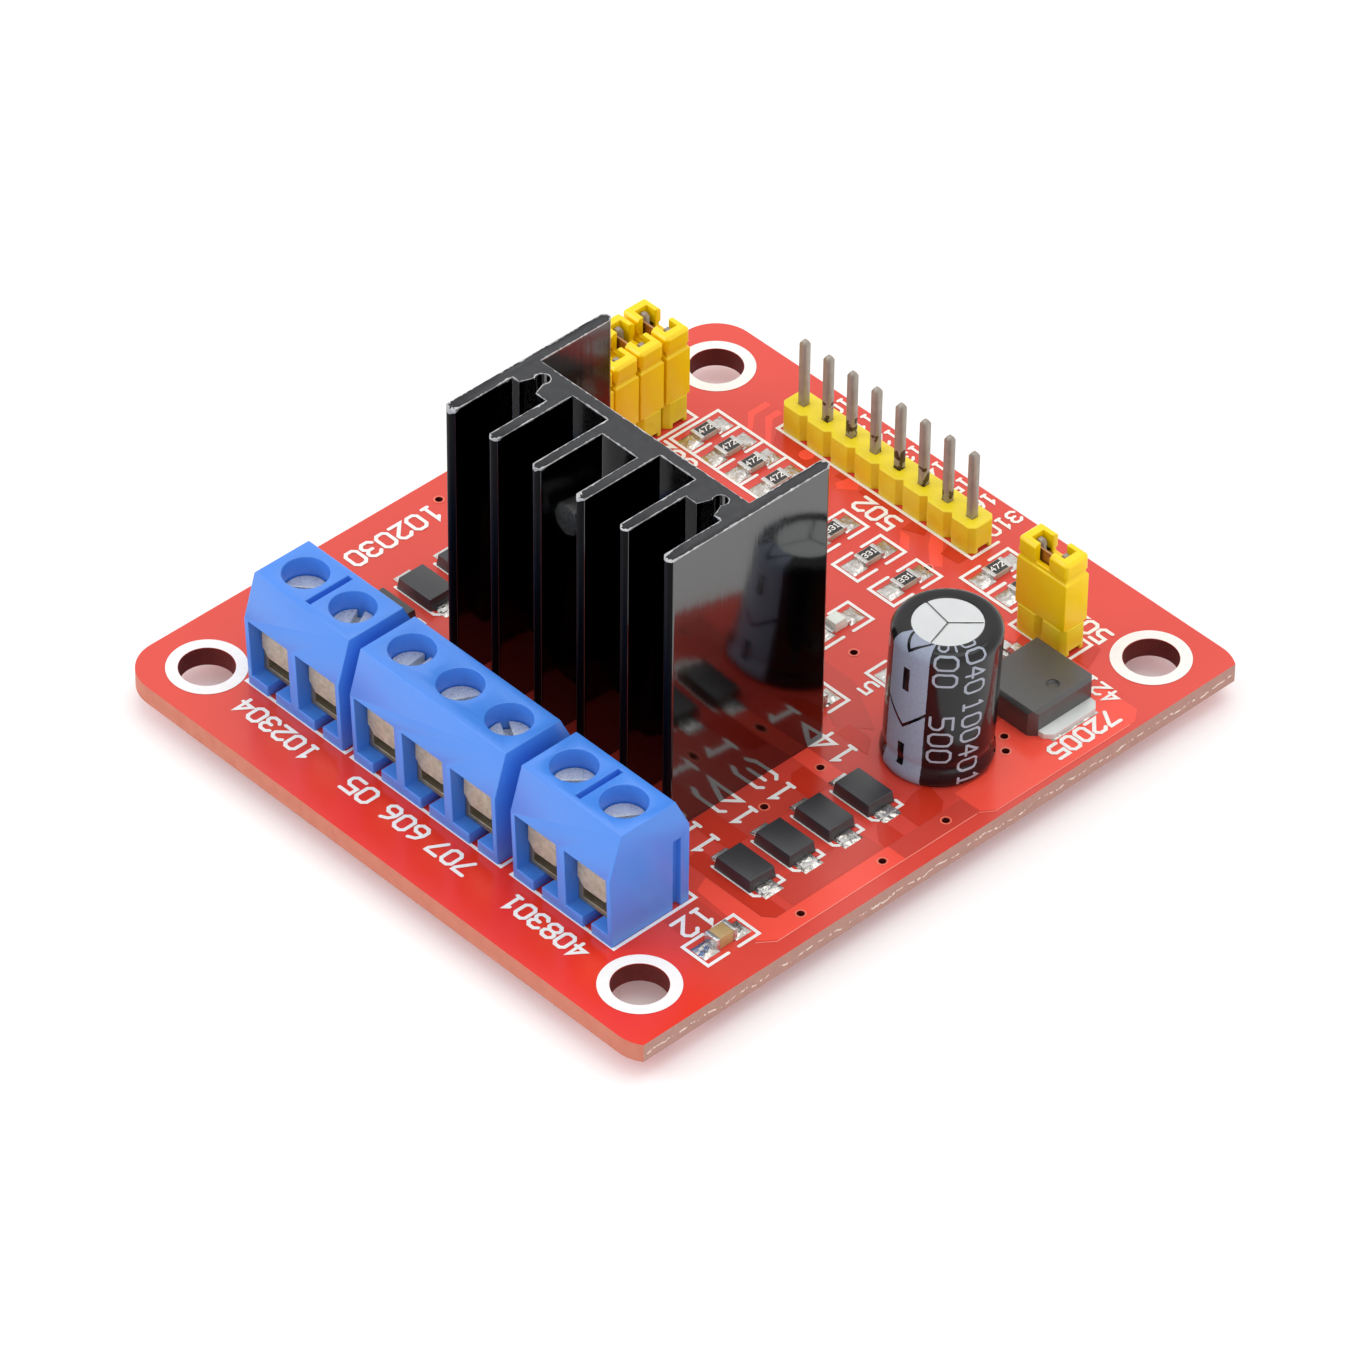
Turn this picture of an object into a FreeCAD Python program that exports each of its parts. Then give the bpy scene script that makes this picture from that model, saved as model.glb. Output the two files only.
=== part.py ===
import FreeCAD, Part
import math
import os
import re
import Sketcher
from FreeCAD import Placement, Rotation, Vector

# A two-channel motor driver module: a red circuit board with an upright power
# chip screwed to a finned heatsink, screw terminals along the front edge, a
# pin header along the back edge and removable jumper caps.
# The origin is under the middle of the board, at the ends of the soldered leads.
# X runs along the terminals, Y to the back edge, Z up. Lengths are millimetres.

SIZES = [
    # circuit board
    ("board_wide", 55.0),
    ("board_deep", 60.0),
    ("board_thick", 1.6),
    ("corner_radius", 3.2),
    ("score_cut", 1.3),
    ("cut_over", 1.0),
    ("hole_span_x", 45.72),
    ("hole_span_y", 50.8),
    ("mount_hole_radius", 2.1),
    ("lead_drop", 1.8),
    ("drill_gap", 0.06),
    ("drill_side_count", 6),
    ("via_radius", 0.3),
    # solder cones under the board
    ("solder_foot", 1.0),
    ("solder_tip", 0.52),
    ("lead_stub", 0.4),
    # heatsink
    ("sink_x", 1.3),
    ("sink_back_y", -4.96),
    ("sink_high", 25.2),
    ("side_gap", 0.695),
    ("fin_thick", 0.85),
    ("side_thick", 0.95),
    ("fin_reach", 8.4),
    ("side_reach", 7.1),
    ("thin_base", 0.95),
    ("centre_base", 2.3),
    ("port_base", 2.7),
    ("port_mouth", 1.75),
    ("port_throat", 0.9),
    ("port_depth", 1.1),
    ("port_radius", 0.6),
    ("port_overlap", 0.24),
    ("port_shift", 0.17),
    ("fin_bevel", 0.3),
    # power chip and its screw
    ("chip_cheek", 0.7),
    ("chip_deep", 5.0),
    ("chip_high", 10.7),
    ("chip_lift", 2.8),
    ("chip_round", 0.5),
    ("tab_margin", 0.06),
    ("tab_thick", 1.6),
    ("tab_high", 17.5),
    ("tab_corner", 1.2),
    ("tab_notch_radius", 1.9),
    ("tab_hole_radius", 1.9),
    ("tab_hole_drop", 2.8),
    ("chip_lead_count", 15),
    ("chip_pitch", 1.27),
    ("chip_lead_wide", 0.7),
    ("chip_lead_thick", 0.5),
    ("lead_exit", 2.65),
    ("near_row", -0.53),
    ("far_row", 4.55),
    ("lead_neck", 0.45),
    ("lead_knee", 1.0),
    ("chip_screw_radius", 1.45),
    ("chip_screw_long", 6.0),
    ("chip_head_radius", 2.75),
    ("chip_head_high", 1.9),
    ("recess_long", 2.8),
    ("recess_wide", 0.55),
    ("recess_deep", 1.1),
    ("thread_gap", 0.05),
    # screw terminals
    ("pole_pitch", 5.08),
    ("screw_row_y", -20.83),
    ("thread_side_count", 8),
    ("left_block_x", -14.40),
    ("left_pole_count", 2),
    ("middle_block_x", -0.50),
    ("middle_pole_count", 3),
    ("right_block_x", 13.81),
    ("right_pole_count", 2),
    ("block_high", 10.0),
    ("block_shoulder", 7.2),
    ("block_bulge", 6.3),
    ("block_rear", 3.88),
    ("block_rear_top", 2.53),
    ("block_front_top", 2.67),
    ("block_front_bulge", 3.77),
    ("block_front", 3.5),
    ("entry_wide", 4.22),
    ("floor_thick", 1.0),
    ("rear_wall", 1.68),
    ("pin_slot", 0.85),
    ("flap_slot_top", 7.95),
    ("slot_overlap", 0.5),
    ("bore_radius", 1.75),
    ("top_slot_wide", 0.5),
    ("top_slot_long", 4.1),
    ("top_slot_deep", 0.8),
    ("end_slot_wide", 0.72),
    ("end_slot_deep", 0.5),
    ("end_slot_y", 2.33),
    ("end_slot_high", 6.4),
    ("end_rib_gap", 0.06),
    ("end_rib_out", 0.42),
    ("end_rib_root", 0.2),
    # clamps inside the terminals
    ("cage_gap", 0.06),
    ("cage_wall", 0.45),
    ("cage_roof", 0.6),
    ("cage_high", 4.2),
    ("cage_front", 2.4),
    ("cage_back", 2.0),
    ("cage_pin_wide", 0.75),
    ("cage_pin_deep", 1.0),
    ("flap_wide", 3.5),
    ("flap_thick", 0.3),
    ("flap_gap", 0.12),
    ("flap_low", 2.9),
    ("flap_high", 3.7),
    ("flap_round", 0.7),
    ("foot_wide", 2.9),
    ("foot_long", 3.9),
    ("foot_rise", 0.2),
    ("foot_thick", 0.35),
    ("clamp_head_low", 6.95),
    ("clamp_head_high", 1.4),
    ("clamp_head_radius", 1.65),
    ("clamp_thread_radius", 1.45),
    ("clamp_slot_wide", 0.6),
    ("clamp_slot_deep", 0.75),
    # pin header and jumper posts
    ("pin_pitch", 2.54),
    ("pin_wide", 0.64),
    ("pin_tip", 0.3),
    ("pin_tip_wide", 0.36),
    ("pin_rise", 6.0),
    ("strip_deep", 2.5),
    ("strip_high", 2.5),
    ("strip_notch", 0.42),
    ("strip_groove_wide", 1.1),
    ("strip_groove_deep", 0.4),
    ("header_count", 8),
    ("header_x", -4.18),
    ("header_y", 25.05),
    ("supply_jumper_x", 16.12),
    ("supply_jumper_y", 21.74),
    ("bank_x", -22.28),
    ("bank_y", 18.52),
    ("bank_gap", 2.66),
    ("bank_step", 2.55),
    # jumper caps
    ("cap_wide", 5.0),
    ("cap_deep", 2.4),
    ("cap_high", 6.25),
    ("cap_shoulder", 4.45),
    ("cap_neck_high", 0.45),
    ("cap_neck_in", 0.16),
    ("cap_side_wall", 0.5),
    ("cap_face_wall", 0.42),
    ("head_side_wall", 0.85),
    ("head_face_wall", 0.6),
    ("head_gap", 1.4),
    ("notch_deep", 0.75),
    ("notch_over", 0.3),
    ("cap_bevel", 0.25),
    ("cap_overlap", 0.5),
    ("cap_ceiling", 0.2),
    ("clip_thick", 0.2),
    ("clip_gap", 0.03),
    ("clip_low", 0.6),
    ("clip_high", 3.6),
    ("clip_half", 1.9),
    ("clip_return", 0.95),
    ("clip_bridge_half", 1.3),
    ("clip_bridge_high", 1.5),
    ("clip_overlap", 0.5),
    # electrolytic capacitor
    ("can_x", 19.5),
    ("can_y", 6.9),
    ("can_radius", 3.93),
    ("can_high", 12.2),
    ("can_shoulder", 0.7),
    ("groove_z", 1.9),
    ("groove_in", 0.32),
    ("groove_half", 0.75),
    ("sleeve_thick", 0.13),
    ("sleeve_rim", 2.6),
    ("sleeve_slant", 0.052),
    ("bung_high", 1.1),
    ("bung_radius", 3.2),
    ("can_lead_pitch", 3.5),
    ("can_lead_radius", 0.3),
    # voltage regulator
    ("reg_x", 20.25),
    ("reg_y", 16.0),
    ("reg_long", 6.1),
    ("reg_wide", 6.5),
    ("reg_high", 2.3),
    ("reg_draft", 0.28),
    ("reg_step", 0.55),
    ("reg_tab_wide", 5.35),
    ("reg_tab_thick", 0.5),
    ("reg_tab_out", 1.05),
    ("reg_tab_in", 2.2),
    ("reg_tab_corner", 0.55),
    ("reg_lead_pitch", 2.285),
    ("reg_lead_wide", 0.75),
    ("reg_lead_thick", 0.5),
    ("reg_lead_out", 2.6),
    ("reg_lead_high", 1.0),
    ("reg_lead_foot", 1.1),
    ("reg_lead_heel", 0.3),
    ("reg_lead_lean", 0.1),
    # diodes
    ("diode_right_x", 19.5),
    ("diode_left_x", -18.2),
    ("diode_first_y", -12.1),
    ("diode_step", 3.88),
    ("diode_long", 3.7),
    ("diode_wide", 2.6),
    ("diode_high", 1.05),
    ("diode_draft", 0.12),
    ("diode_lead_wide", 1.4),
    ("diode_lead_long", 0.8),
    ("diode_lead_thick", 0.2),
    # chip resistors, ceramic capacitors and the indicator lamp
    ("chip_part_long", 2.0),
    ("chip_part_wide", 1.25),
    ("resistor_high", 0.5),
    ("ceramic_high", 1.0),
    ("end_cap_long", 0.36),
    ("end_cap_skin", 0.03),
    ("lamp_x", 4.75),
    ("lamp_y", 11.12),
    ("lamp_base_high", 0.35),
    ("lamp_lens_high", 0.45),
    ("lamp_draft", 0.1),
]

# How far each terminal screw was left turned, in degrees.
SCREW_TURNS = (40, 118, 96, 62, 150, 48, 57)

# Places on the board of the resistors and of the ceramic capacitors.
RESISTORS = (
    (-17.6, 19.25),
    (-15.05, 19.25),
    (-12.5, 19.25),
    (-9.95, 19.25),
    (-2.93, 18.18),
    (1.0, 18.18),
    (4.78, 18.18),
    (8.45, 24.0),
    (11.1, 24.0),
)
CERAMICS = (
    (23.45, -18.2),
    (11.35, 11.5),
    (10.0, 3.6),
)

# Small drilled holes between the two copper sides: their places on the board.
VIAS = (
    (25.25, 2.1),
    (25.25, -4.2),
    (25.25, -12.2),
    (15.15, -0.5),
    (15.45, -6.35),
    (7.8, 10.0),
    (4.7, 20.6),
    (21.7, 11.5),
    (22.9, 10.45),
    (-25.45, -0.45),
)

doc = FreeCAD.newDocument("motor_driver_module")
sheet = doc.addObject("Spreadsheet::Sheet", "sizes")
for row, (alias, number) in enumerate(SIZES, start=1):
    sheet.set("A%d" % row, alias)
    sheet.set("B%d" % row, str(number))
    sheet.setAlias("B%d" % row, alias)
doc.recompute()
ALIASES = {alias for alias, number in SIZES}
NODES = []


def bound(text):
    """The expression with each size's name pointing at its cell."""

    def cell(match):
        word = match.group(0)
        return "sizes." + word if word in ALIASES else word

    return re.sub(r"[a-z_]+", cell, str(text))


def value(text):
    """The number that an expression of sizes has now."""
    return float(sheet.evalExpression(bound(text)))


TOP = "(lead_drop + board_thick)"


def place(thing, at):
    """Bind the thing's place to three expressions."""
    for axis, text in zip("xyz", at):
        thing.setExpression("Placement.Base." + axis, bound(text))


def node(thing, label):
    """Give a finished sub-part its name and remember it for the export."""
    thing.Label = label
    NODES.append(thing)
    return thing


def new_body(label, at, kept=True):
    """An empty body. One that isn't kept is only a step towards a sub-part."""
    body = doc.addObject("PartDesign::Body", label)
    place(body, at)
    return node(body, label) if kept else body


def new_sketch(body, role, lift="0"):
    """A sketch on one of the body's own planes, lifted along its normal."""
    sketch = body.newObject("Sketcher::SketchObject", body.Name + "_outline")
    plane = [f for f in body.Origin.OriginFeatures if f.Role == role][0]
    sketch.AttachmentSupport = (plane, [""])
    sketch.MapMode = "FlatFace"
    sketch.setExpression("AttachmentOffset.Base.z", bound(lift))
    return sketch


def hold(sketch, kind, geometry, text, point=None):
    """One driving distance of a sketch, bound to an expression."""
    number = value(text)
    if point is None:
        constraint = Sketcher.Constraint(kind, geometry, number)
    else:
        constraint = Sketcher.Constraint(kind, geometry, point, number)
    index = sketch.addConstraint(constraint)
    sketch.setExpression("Constraints[%d]" % index, bound(text))


def draw_polygon(sketch, points):
    """A closed outline whose corners are pairs of expressions."""
    corners = [Vector(value(x), value(y), 0) for x, y in points]
    first = sketch.GeometryCount
    count = len(points)
    for i in range(count):
        sketch.addGeometry(Part.LineSegment(corners[i], corners[(i + 1) % count]))
    for i in range(count):
        joint = Sketcher.Constraint("Coincident", first + i, 2, first + (i + 1) % count, 1)
        sketch.addConstraint(joint)
    for i, (x, y) in enumerate(points):
        hold(sketch, "DistanceX", first + i, x, 1)
        hold(sketch, "DistanceY", first + i, y, 1)


def draw_circle(sketch, x, y, radius):
    centre = Vector(value(x), value(y), 0)
    index = sketch.addGeometry(Part.Circle(centre, Vector(0, 0, 1), value(radius)))
    hold(sketch, "DistanceX", index, x, 3)
    hold(sketch, "DistanceY", index, y, 3)
    hold(sketch, "Radius", index, radius)


def rectangle(x, y, wide, deep):
    """Corners of a rectangle round a centre, as expressions."""
    left, right = "%s - %s / 2" % (x, wide), "%s + %s / 2" % (x, wide)
    low, high = "%s - %s / 2" % (y, deep), "%s + %s / 2" % (y, deep)
    return [(left, low), (right, low), (right, high), (left, high)]


def pad(body, sketch, length, reverse=False):
    feature = body.newObject("PartDesign::Pad", body.Name + "_pad")
    feature.Profile = sketch
    feature.setExpression("Length", bound(length))
    feature.Reversed = reverse
    doc.recompute()
    return feature


def pocket(body, sketch, length, reverse=False):
    """Cut the sketch through the body, and make sure that it does cut."""
    before = body.Shape.Volume
    feature = body.newObject("PartDesign::Pocket", body.Name + "_pocket")
    feature.Profile = sketch
    feature.setExpression("Length", bound(length))
    feature.Reversed = reverse
    doc.recompute()
    if not body.Shape.Volume < before:
        raise RuntimeError(body.Label + ": a pocket cuts nothing")
    return feature


def revolve(body, sketch):
    feature = body.newObject("PartDesign::Revolution", body.Name + "_revolution")
    feature.Profile = sketch
    feature.ReferenceAxis = (sketch, ["V_Axis"])
    feature.Angle = 360
    doc.recompute()
    return feature


def block(body, kind, corner, size):
    """A box added to the body or taken from it: kind is Additive or Subtractive."""
    feature = body.newObject("PartDesign::%sBox" % kind, body.Name + "_block")
    for side, text in zip(("Length", "Width", "Height"), size):
        feature.setExpression(side, bound(text))
    place(feature, corner)
    return feature


def drum(body, kind, base, radius, height):
    """An upright cylinder added to the body or taken from it."""
    feature = body.newObject("PartDesign::%sCylinder" % kind, body.Name + "_drum")
    feature.setExpression("Radius", bound(radius))
    feature.setExpression("Height", bound(height))
    place(feature, base)
    return feature


def edges_where(shape, test):
    """Names of the straight edges whose two ends pass the test."""
    names = []
    for i, edge in enumerate(shape.Edges, start=1):
        if len(edge.Vertexes) == 2 and isinstance(edge.Curve, Part.Line):
            ends = [vertex.Point for vertex in edge.Vertexes]
            if test(ends[0], ends[1]):
                names.append("Edge%d" % i)
    return names


def upright(a, b):
    return abs(a.x - b.x) < 1e-6 and abs(a.y - b.y) < 1e-6


def dress(body, kind, test, size):
    """Round (Fillet) or bevel (Chamfer) the edges of the body that pass the test."""
    base = body.Tip
    doc.recompute()
    names = edges_where(base.Shape, test)
    if not names:
        raise RuntimeError(body.Label + ": no edge to dress")
    feature = body.newObject("PartDesign::" + kind, body.Name + "_" + kind.lower())
    feature.Base = (base, names)
    feature.setExpression("Radius" if kind == "Fillet" else "Size", bound(size))
    doc.recompute()
    return feature


def group(label, solids):
    """Loose solids of one kind, such as a row of pins, as one sub-part."""
    feature = doc.addObject("Part::Feature", label)
    feature.Shape = Part.makeCompound(solids)
    return node(feature, label)


def brick(x, y, z, wide, deep, high):
    """A box centred on x and y that stands at height z."""
    return Part.makeBox(wide, deep, high, Vector(x - wide / 2, y - deep / 2, z))


def face_of(points):
    return Part.Face(Part.makePolygon(points + points[:1]))


def ring_of_corners(x, y, z, radius, count):
    """Corners of a regular polygon round a vertical axis. The radius reaches to the
    corners."""
    turns = [2 * math.pi * (i + 0.5) / count for i in range(count)]
    return [Vector(x + radius * math.cos(turn), y + radius * math.sin(turn), z) for turn in turns]


def square_ring(x, y, z, wide, deep):
    """Corners of a rectangle round a vertical axis."""
    corners = [(-wide / 2, -deep / 2), (wide / 2, -deep / 2), (wide / 2, deep / 2), (-wide / 2, deep / 2)]
    return [Vector(x + a, y + b, z) for a, b in corners]


def stack(rings):
    """A solid with flat sides between polygons that lie one above the other."""
    faces = [face_of(rings[0]), face_of(rings[-1])]
    for low, high in zip(rings, rings[1:]):
        for i in range(len(low)):
            after = (i + 1) % len(low)
            faces.append(face_of([low[i], low[after], high[after], high[i]]))
    solid = Part.Solid(Part.Shell(faces))
    if solid.Volume < 0:
        solid.reverse()
    return solid


def round_hole(x, y, low, high, radius, count):
    """A drill of flat sides, none of which comes nearer to the axis than the radius."""
    reach = radius / math.cos(math.pi / count)
    return face_of(ring_of_corners(x, y, low, reach, count)).extrude(Vector(0, 0, high - low))


def tapered(x, y, z, wide, deep, high, draft):
    """A block whose four sides lean in by the draft on the way up."""
    top = square_ring(x, y, z + high, wide - 2 * draft, deep - 2 * draft)
    return stack([square_ring(x, y, z, wide, deep), top])


# Where each row of leads goes through the board, as expressions.
BLOCKS = [("%s_block_x" % side, int(value("%s_pole_count" % side))) for side in ("left", "middle", "right")]
POLES = []
for centre, poles in BLOCKS:
    for i in range(poles):
        POLES.append("(%s + (%g) * pole_pitch)" % (centre, i - (poles - 1) / 2))
HEADER_COUNT = int(value("header_count"))
HEADER_PINS = ["(header_x + (%g) * pin_pitch)" % (i - (HEADER_COUNT - 1) / 2) for i in range(HEADER_COUNT)]
POSTS = [("bank_x", "(bank_y)")]
POSTS += [("bank_x", "(bank_y - bank_gap - %d * bank_step)" % i) for i in range(3)]
POSTS += [("supply_jumper_x", "(supply_jumper_y)")]
JUMPER_PINS = []
for x, y in POSTS:
    JUMPER_PINS.append(("(%s - pin_pitch / 2)" % x, y))
    JUMPER_PINS.append(("(%s + pin_pitch / 2)" % x, y))
LEAD_COUNT = int(value("chip_lead_count"))
CHIP_LEADS = []
for i in range(LEAD_COUNT):
    across = "(sink_x + (%g) * chip_pitch)" % (i - (LEAD_COUNT - 1) / 2)
    row = "far_row" if i % 2 == 0 else "near_row"
    CHIP_LEADS.append((across, "(sink_back_y + lead_exit + %s)" % row))
CAN_LEADS = [("(can_x - can_lead_pitch / 2)", "(can_y)"), ("(can_x + can_lead_pitch / 2)", "(can_y)")]
CAGE_HOLE = "(sqrt(cage_pin_wide ^ 2 + cage_pin_deep ^ 2) / 2 + drill_gap)"
PIN_HOLE = "(pin_wide / sqrt(2) + drill_gap)"
LEAD_HOLE = "(sqrt(chip_lead_wide ^ 2 + chip_lead_thick ^ 2) / 2 + drill_gap)"
CAN_HOLE = "(can_lead_radius + drill_gap)"

# The tab is a little wider than the row of leads, the moulded body wider than the
# tab, and the heatsink's side plates clear the body. The other fins divide the way.
TAB_WIDE = "((chip_lead_count - 1) * chip_pitch + chip_lead_wide + 2 * tab_margin)"
CHIP_WIDE = "(%s + 2 * chip_cheek)" % TAB_WIDE
FIN_COUNT = 6
FIN_PITCH = "((%s + 2 * side_gap + side_thick) / %d)" % (CHIP_WIDE, FIN_COUNT - 1)
SCREW_RISE = "(chip_lift + tab_high - tab_hole_drop)"
GUARD_FRONT = "(-cage_front - flap_gap - flap_thick)"
CAGE_LOW = "(floor_thick + cage_gap)"


def circuit_board():
    """One sheet with round corners. The right edge was snapped off along a score
    line that cuts into the round corners there. The small drilled holes have flat
    sides, because the leads and their solder hide them."""
    body = new_body("circuit_board_blank", ("0", "0", "lead_drop"), kept=False)
    outline = new_sketch(body, "XY_Plane")
    right = "board_wide / 2 + score_cut"
    left = "-board_wide / 2"
    half = "board_deep / 2"
    corners = [(left, "-" + half), (right, "-" + half), (right, half), (left, half)]
    draw_polygon(outline, corners)
    pad(body, outline, "board_thick")
    dress(body, "Fillet", upright, "corner_radius")
    block(
        body,
        "Subtractive",
        ("board_wide / 2", "-board_deep / 2 - cut_over", "-cut_over"),
        ("score_cut + cut_over", "board_deep + 2 * cut_over", "board_thick + 2 * cut_over"),
    )
    holes = new_sketch(body, "XY_Plane", "board_thick")
    for x in ("-hole_span_x / 2", "hole_span_x / 2"):
        for y in ("-hole_span_y / 2", "hole_span_y / 2"):
            draw_circle(holes, x, y, "mount_hole_radius")
    pocket(body, holes, "board_thick")
    small = [(x, "screw_row_y", CAGE_HOLE) for x in POLES]
    small += [(x, "header_y", PIN_HOLE) for x in HEADER_PINS]
    small += [(x, y, PIN_HOLE) for x, y in JUMPER_PINS]
    small += [(x, y, LEAD_HOLE) for x, y in CHIP_LEADS]
    small += [(x, y, CAN_HOLE) for x, y in CAN_LEADS]
    small += [(x, y, "via_radius") for x, y in VIAS]
    low, high = value("lead_drop - cut_over"), value(TOP + " + cut_over")
    count = int(value("drill_side_count"))
    drills = doc.addObject("Part::Feature", "drills")
    drills.Shape = Part.makeCompound(
        [round_hole(value(x), value(y), low, high, value(radius), count) for x, y, radius in small]
    )
    board = doc.addObject("Part::Cut", "circuit_board")
    board.Base = body
    board.Tool = drills
    node(board, "circuit_board")


def heatsink():
    """An extruded comb: five gaps between six fins in front of a cross web, and two
    side plates that reach back past it to shield the chip. The outer gaps end in
    round screw ports, and the thick middle of the web has the tapped hole."""
    body = new_body("heatsink", ("sink_x", "sink_back_y", TOP))
    outline = new_sketch(body, "XY_Plane")
    floors = ("port_base", "thin_base", "centre_base", "thin_base", "port_base")
    points = []
    last = FIN_COUNT - 1
    for i in range(FIN_COUNT):
        middle = "(%g) * %s" % (i - last / 2, FIN_PITCH)
        half = "side_thick / 2" if i in (0, last) else "fin_thick / 2"
        points.append(("%s - %s" % (middle, half), "-fin_reach"))
        points.append(("%s + %s" % (middle, half), "-fin_reach"))
        if i == last:
            break
        floor = "-" + floors[i]
        points.append(("%s + %s" % (middle, half), floor))
        if i in (0, last - 1):
            gap = "(%g) * (%s + port_shift / 2)" % (i - (last - 1) / 2, FIN_PITCH)
            points.append(("%s - port_mouth / 2" % gap, floor))
            points.append(("%s - port_throat / 2" % gap, floor + " + port_depth"))
            points.append(("%s + port_throat / 2" % gap, floor + " + port_depth"))
            points.append(("%s + port_mouth / 2" % gap, floor))
        next_half = "side_thick / 2" if i == last - 1 else "fin_thick / 2"
        points.append(("(%g) * %s - %s" % (i + 1 - last / 2, FIN_PITCH, next_half), floor))
    outer = "%s / 2 + side_gap + side_thick" % CHIP_WIDE
    inner = "%s / 2 + side_gap" % CHIP_WIDE
    points += [(outer, "side_reach"), (inner, "side_reach"), (inner, "0")]
    points += [("-(%s)" % inner, "0"), ("-(%s)" % inner, "side_reach")]
    points += [("-(%s)" % outer, "side_reach")]
    draw_polygon(outline, points)
    pad(body, outline, "sink_high")
    ports = new_sketch(body, "XY_Plane", "sink_high")
    for side in (-2, 2):
        bottom = "-port_base + port_depth + port_radius - port_overlap"
        draw_circle(ports, "(%d) * (%s + port_shift / 2)" % (side, FIN_PITCH), bottom, "port_radius")
    pocket(body, ports, "sink_high")
    tapped = new_sketch(body, "XZ_Plane", "-cut_over")
    draw_circle(tapped, "0", SCREW_RISE, "chip_screw_radius + thread_gap")
    pocket(body, tapped, "centre_base + 2 * cut_over", reverse=True)
    front, back = value("-fin_reach"), value("side_reach")

    def fin_end(a, b):
        return upright(a, b) and (abs(a.y - front) < 1e-4 or abs(a.y - back) < 1e-4)

    dress(body, "Chamfer", fin_end, "fin_bevel")


def driver_chip():
    """Moulded body, metal tab and fifteen leads bent into two staggered rows. The tab
    lies flat on the back of the heatsink's web."""
    tab = new_body("driver_chip_tab", ("sink_x", "sink_back_y", TOP + " + chip_lift"))
    face = new_sketch(tab, "XZ_Plane")
    half, high, corner = "%s / 2" % TAB_WIDE, "tab_high", "tab_corner"
    points = [("-" + half, "0"), (half, "0"), (half, high + " - " + corner)]
    points += [(half + " - " + corner, high), ("-%s + %s" % (half, corner), high)]
    points += [("-" + half, high + " - " + corner)]
    draw_polygon(face, points)
    pad(tab, face, "tab_thick", reverse=True)
    cuts = new_sketch(tab, "XZ_Plane", "cut_over")
    draw_circle(cuts, "0", "tab_high - tab_hole_drop", "tab_hole_radius")
    for side in ("-", ""):
        draw_circle(cuts, side + half, "chip_high + tab_notch_radius", "tab_notch_radius")
    pocket(tab, cuts, "tab_thick + 2 * cut_over")

    body = new_body("driver_chip_body", ("sink_x", "sink_back_y", TOP + " + chip_lift"))
    corner = ("-%s / 2" % CHIP_WIDE, "0", "0")
    block(body, "Additive", corner, (CHIP_WIDE, "chip_deep", "chip_high"))

    def far_corner(a, b):
        return min(a.y, b.y) > value("chip_deep") - 1e-4

    dress(body, "Chamfer", far_corner, "chip_round")
    block(
        body,
        "Subtractive",
        ("-%s / 2" % TAB_WIDE, "0", "0"),
        (TAB_WIDE, "tab_thick", "chip_high"),
    )
    group("driver_chip_leads", [chip_lead(x, y) for x, y in CHIP_LEADS])


def chip_lead(x, y):
    """A flat lead: down out of the body, out to its row, and down through the board."""
    top = value(TOP)
    start = value("sink_back_y + lead_exit")
    end = value(y)
    heights = (
        top + value("chip_lift"),
        top + value("chip_lift - lead_neck"),
        top + value("lead_knee"),
        0.0,
    )
    half = value("chip_lead_thick / 2")
    lean = math.atan2(abs(end - start), heights[1] - heights[2])
    shift = half * math.tan(lean / 2) * (1 if end > start else -1)
    path = [(start, heights[0]), (start, heights[1]), (end, heights[2]), (end, heights[3])]
    bends = (0, shift, shift, 0)
    near = [(a - half, b - bend) for (a, b), bend in zip(path, bends)]
    far = [(a + half, b + bend) for (a, b), bend in zip(path, bends)]
    wide = value("chip_lead_wide")
    left = value(x) - wide / 2
    points = [Vector(left, a, b) for a, b in near + far[::-1]]
    return face_of(points).extrude(Vector(wide, 0, 0))


def thread(name, radius, length):
    """A hidden threaded shank as a prism of many sides."""
    shank = doc.addObject("Part::Prism", name)
    shank.setExpression("Polygon", bound("thread_side_count"))
    shank.setExpression("Circumradius", bound(radius))
    shank.setExpression("Height", bound(length))
    return shank


def chip_screw():
    """Pan head screw with a cross recess, through the tab into the web's tapped hole."""
    lie = Rotation(Vector(1, 0, 0), 90)
    seat = "sink_back_y + tab_thick"
    rise = TOP + " + " + SCREW_RISE
    shank = thread("chip_screw_shank", "chip_screw_radius", "chip_screw_long")
    shank.Placement = Placement(Vector(), lie)
    place(shank, ("sink_x", seat, rise))
    head = doc.addObject("Part::Cylinder", "chip_screw_head")
    head.setExpression("Radius", bound("chip_head_radius"))
    head.setExpression("Height", bound("chip_head_high"))
    head.Placement = Placement(Vector(), lie)
    place(head, ("sink_x", seat + " + chip_head_high", rise))
    blank = doc.addObject("Part::Fuse", "chip_screw_blank")
    blank.Base = shank
    blank.Tool = head
    sides = []
    for name, wide, high in (
        ("chip_screw_level", "recess_long", "recess_wide"),
        ("chip_screw_upright", "recess_wide", "recess_long"),
    ):
        side = doc.addObject("Part::Box", name)
        side.setExpression("Length", bound(wide))
        side.setExpression("Width", bound("recess_deep"))
        side.setExpression("Height", bound(high))
        corner = ("sink_x - %s / 2" % wide, seat + " + chip_head_high - recess_deep")
        place(side, corner + ("%s - %s / 2" % (rise, high),))
        sides.append(side)
    recess = doc.addObject("Part::Fuse", "chip_screw_recess")
    recess.Base, recess.Tool = sides
    screw = doc.addObject("Part::Cut", "chip_screw")
    screw.Base = blank
    screw.Tool = recess
    node(screw, "chip_screw")


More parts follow.
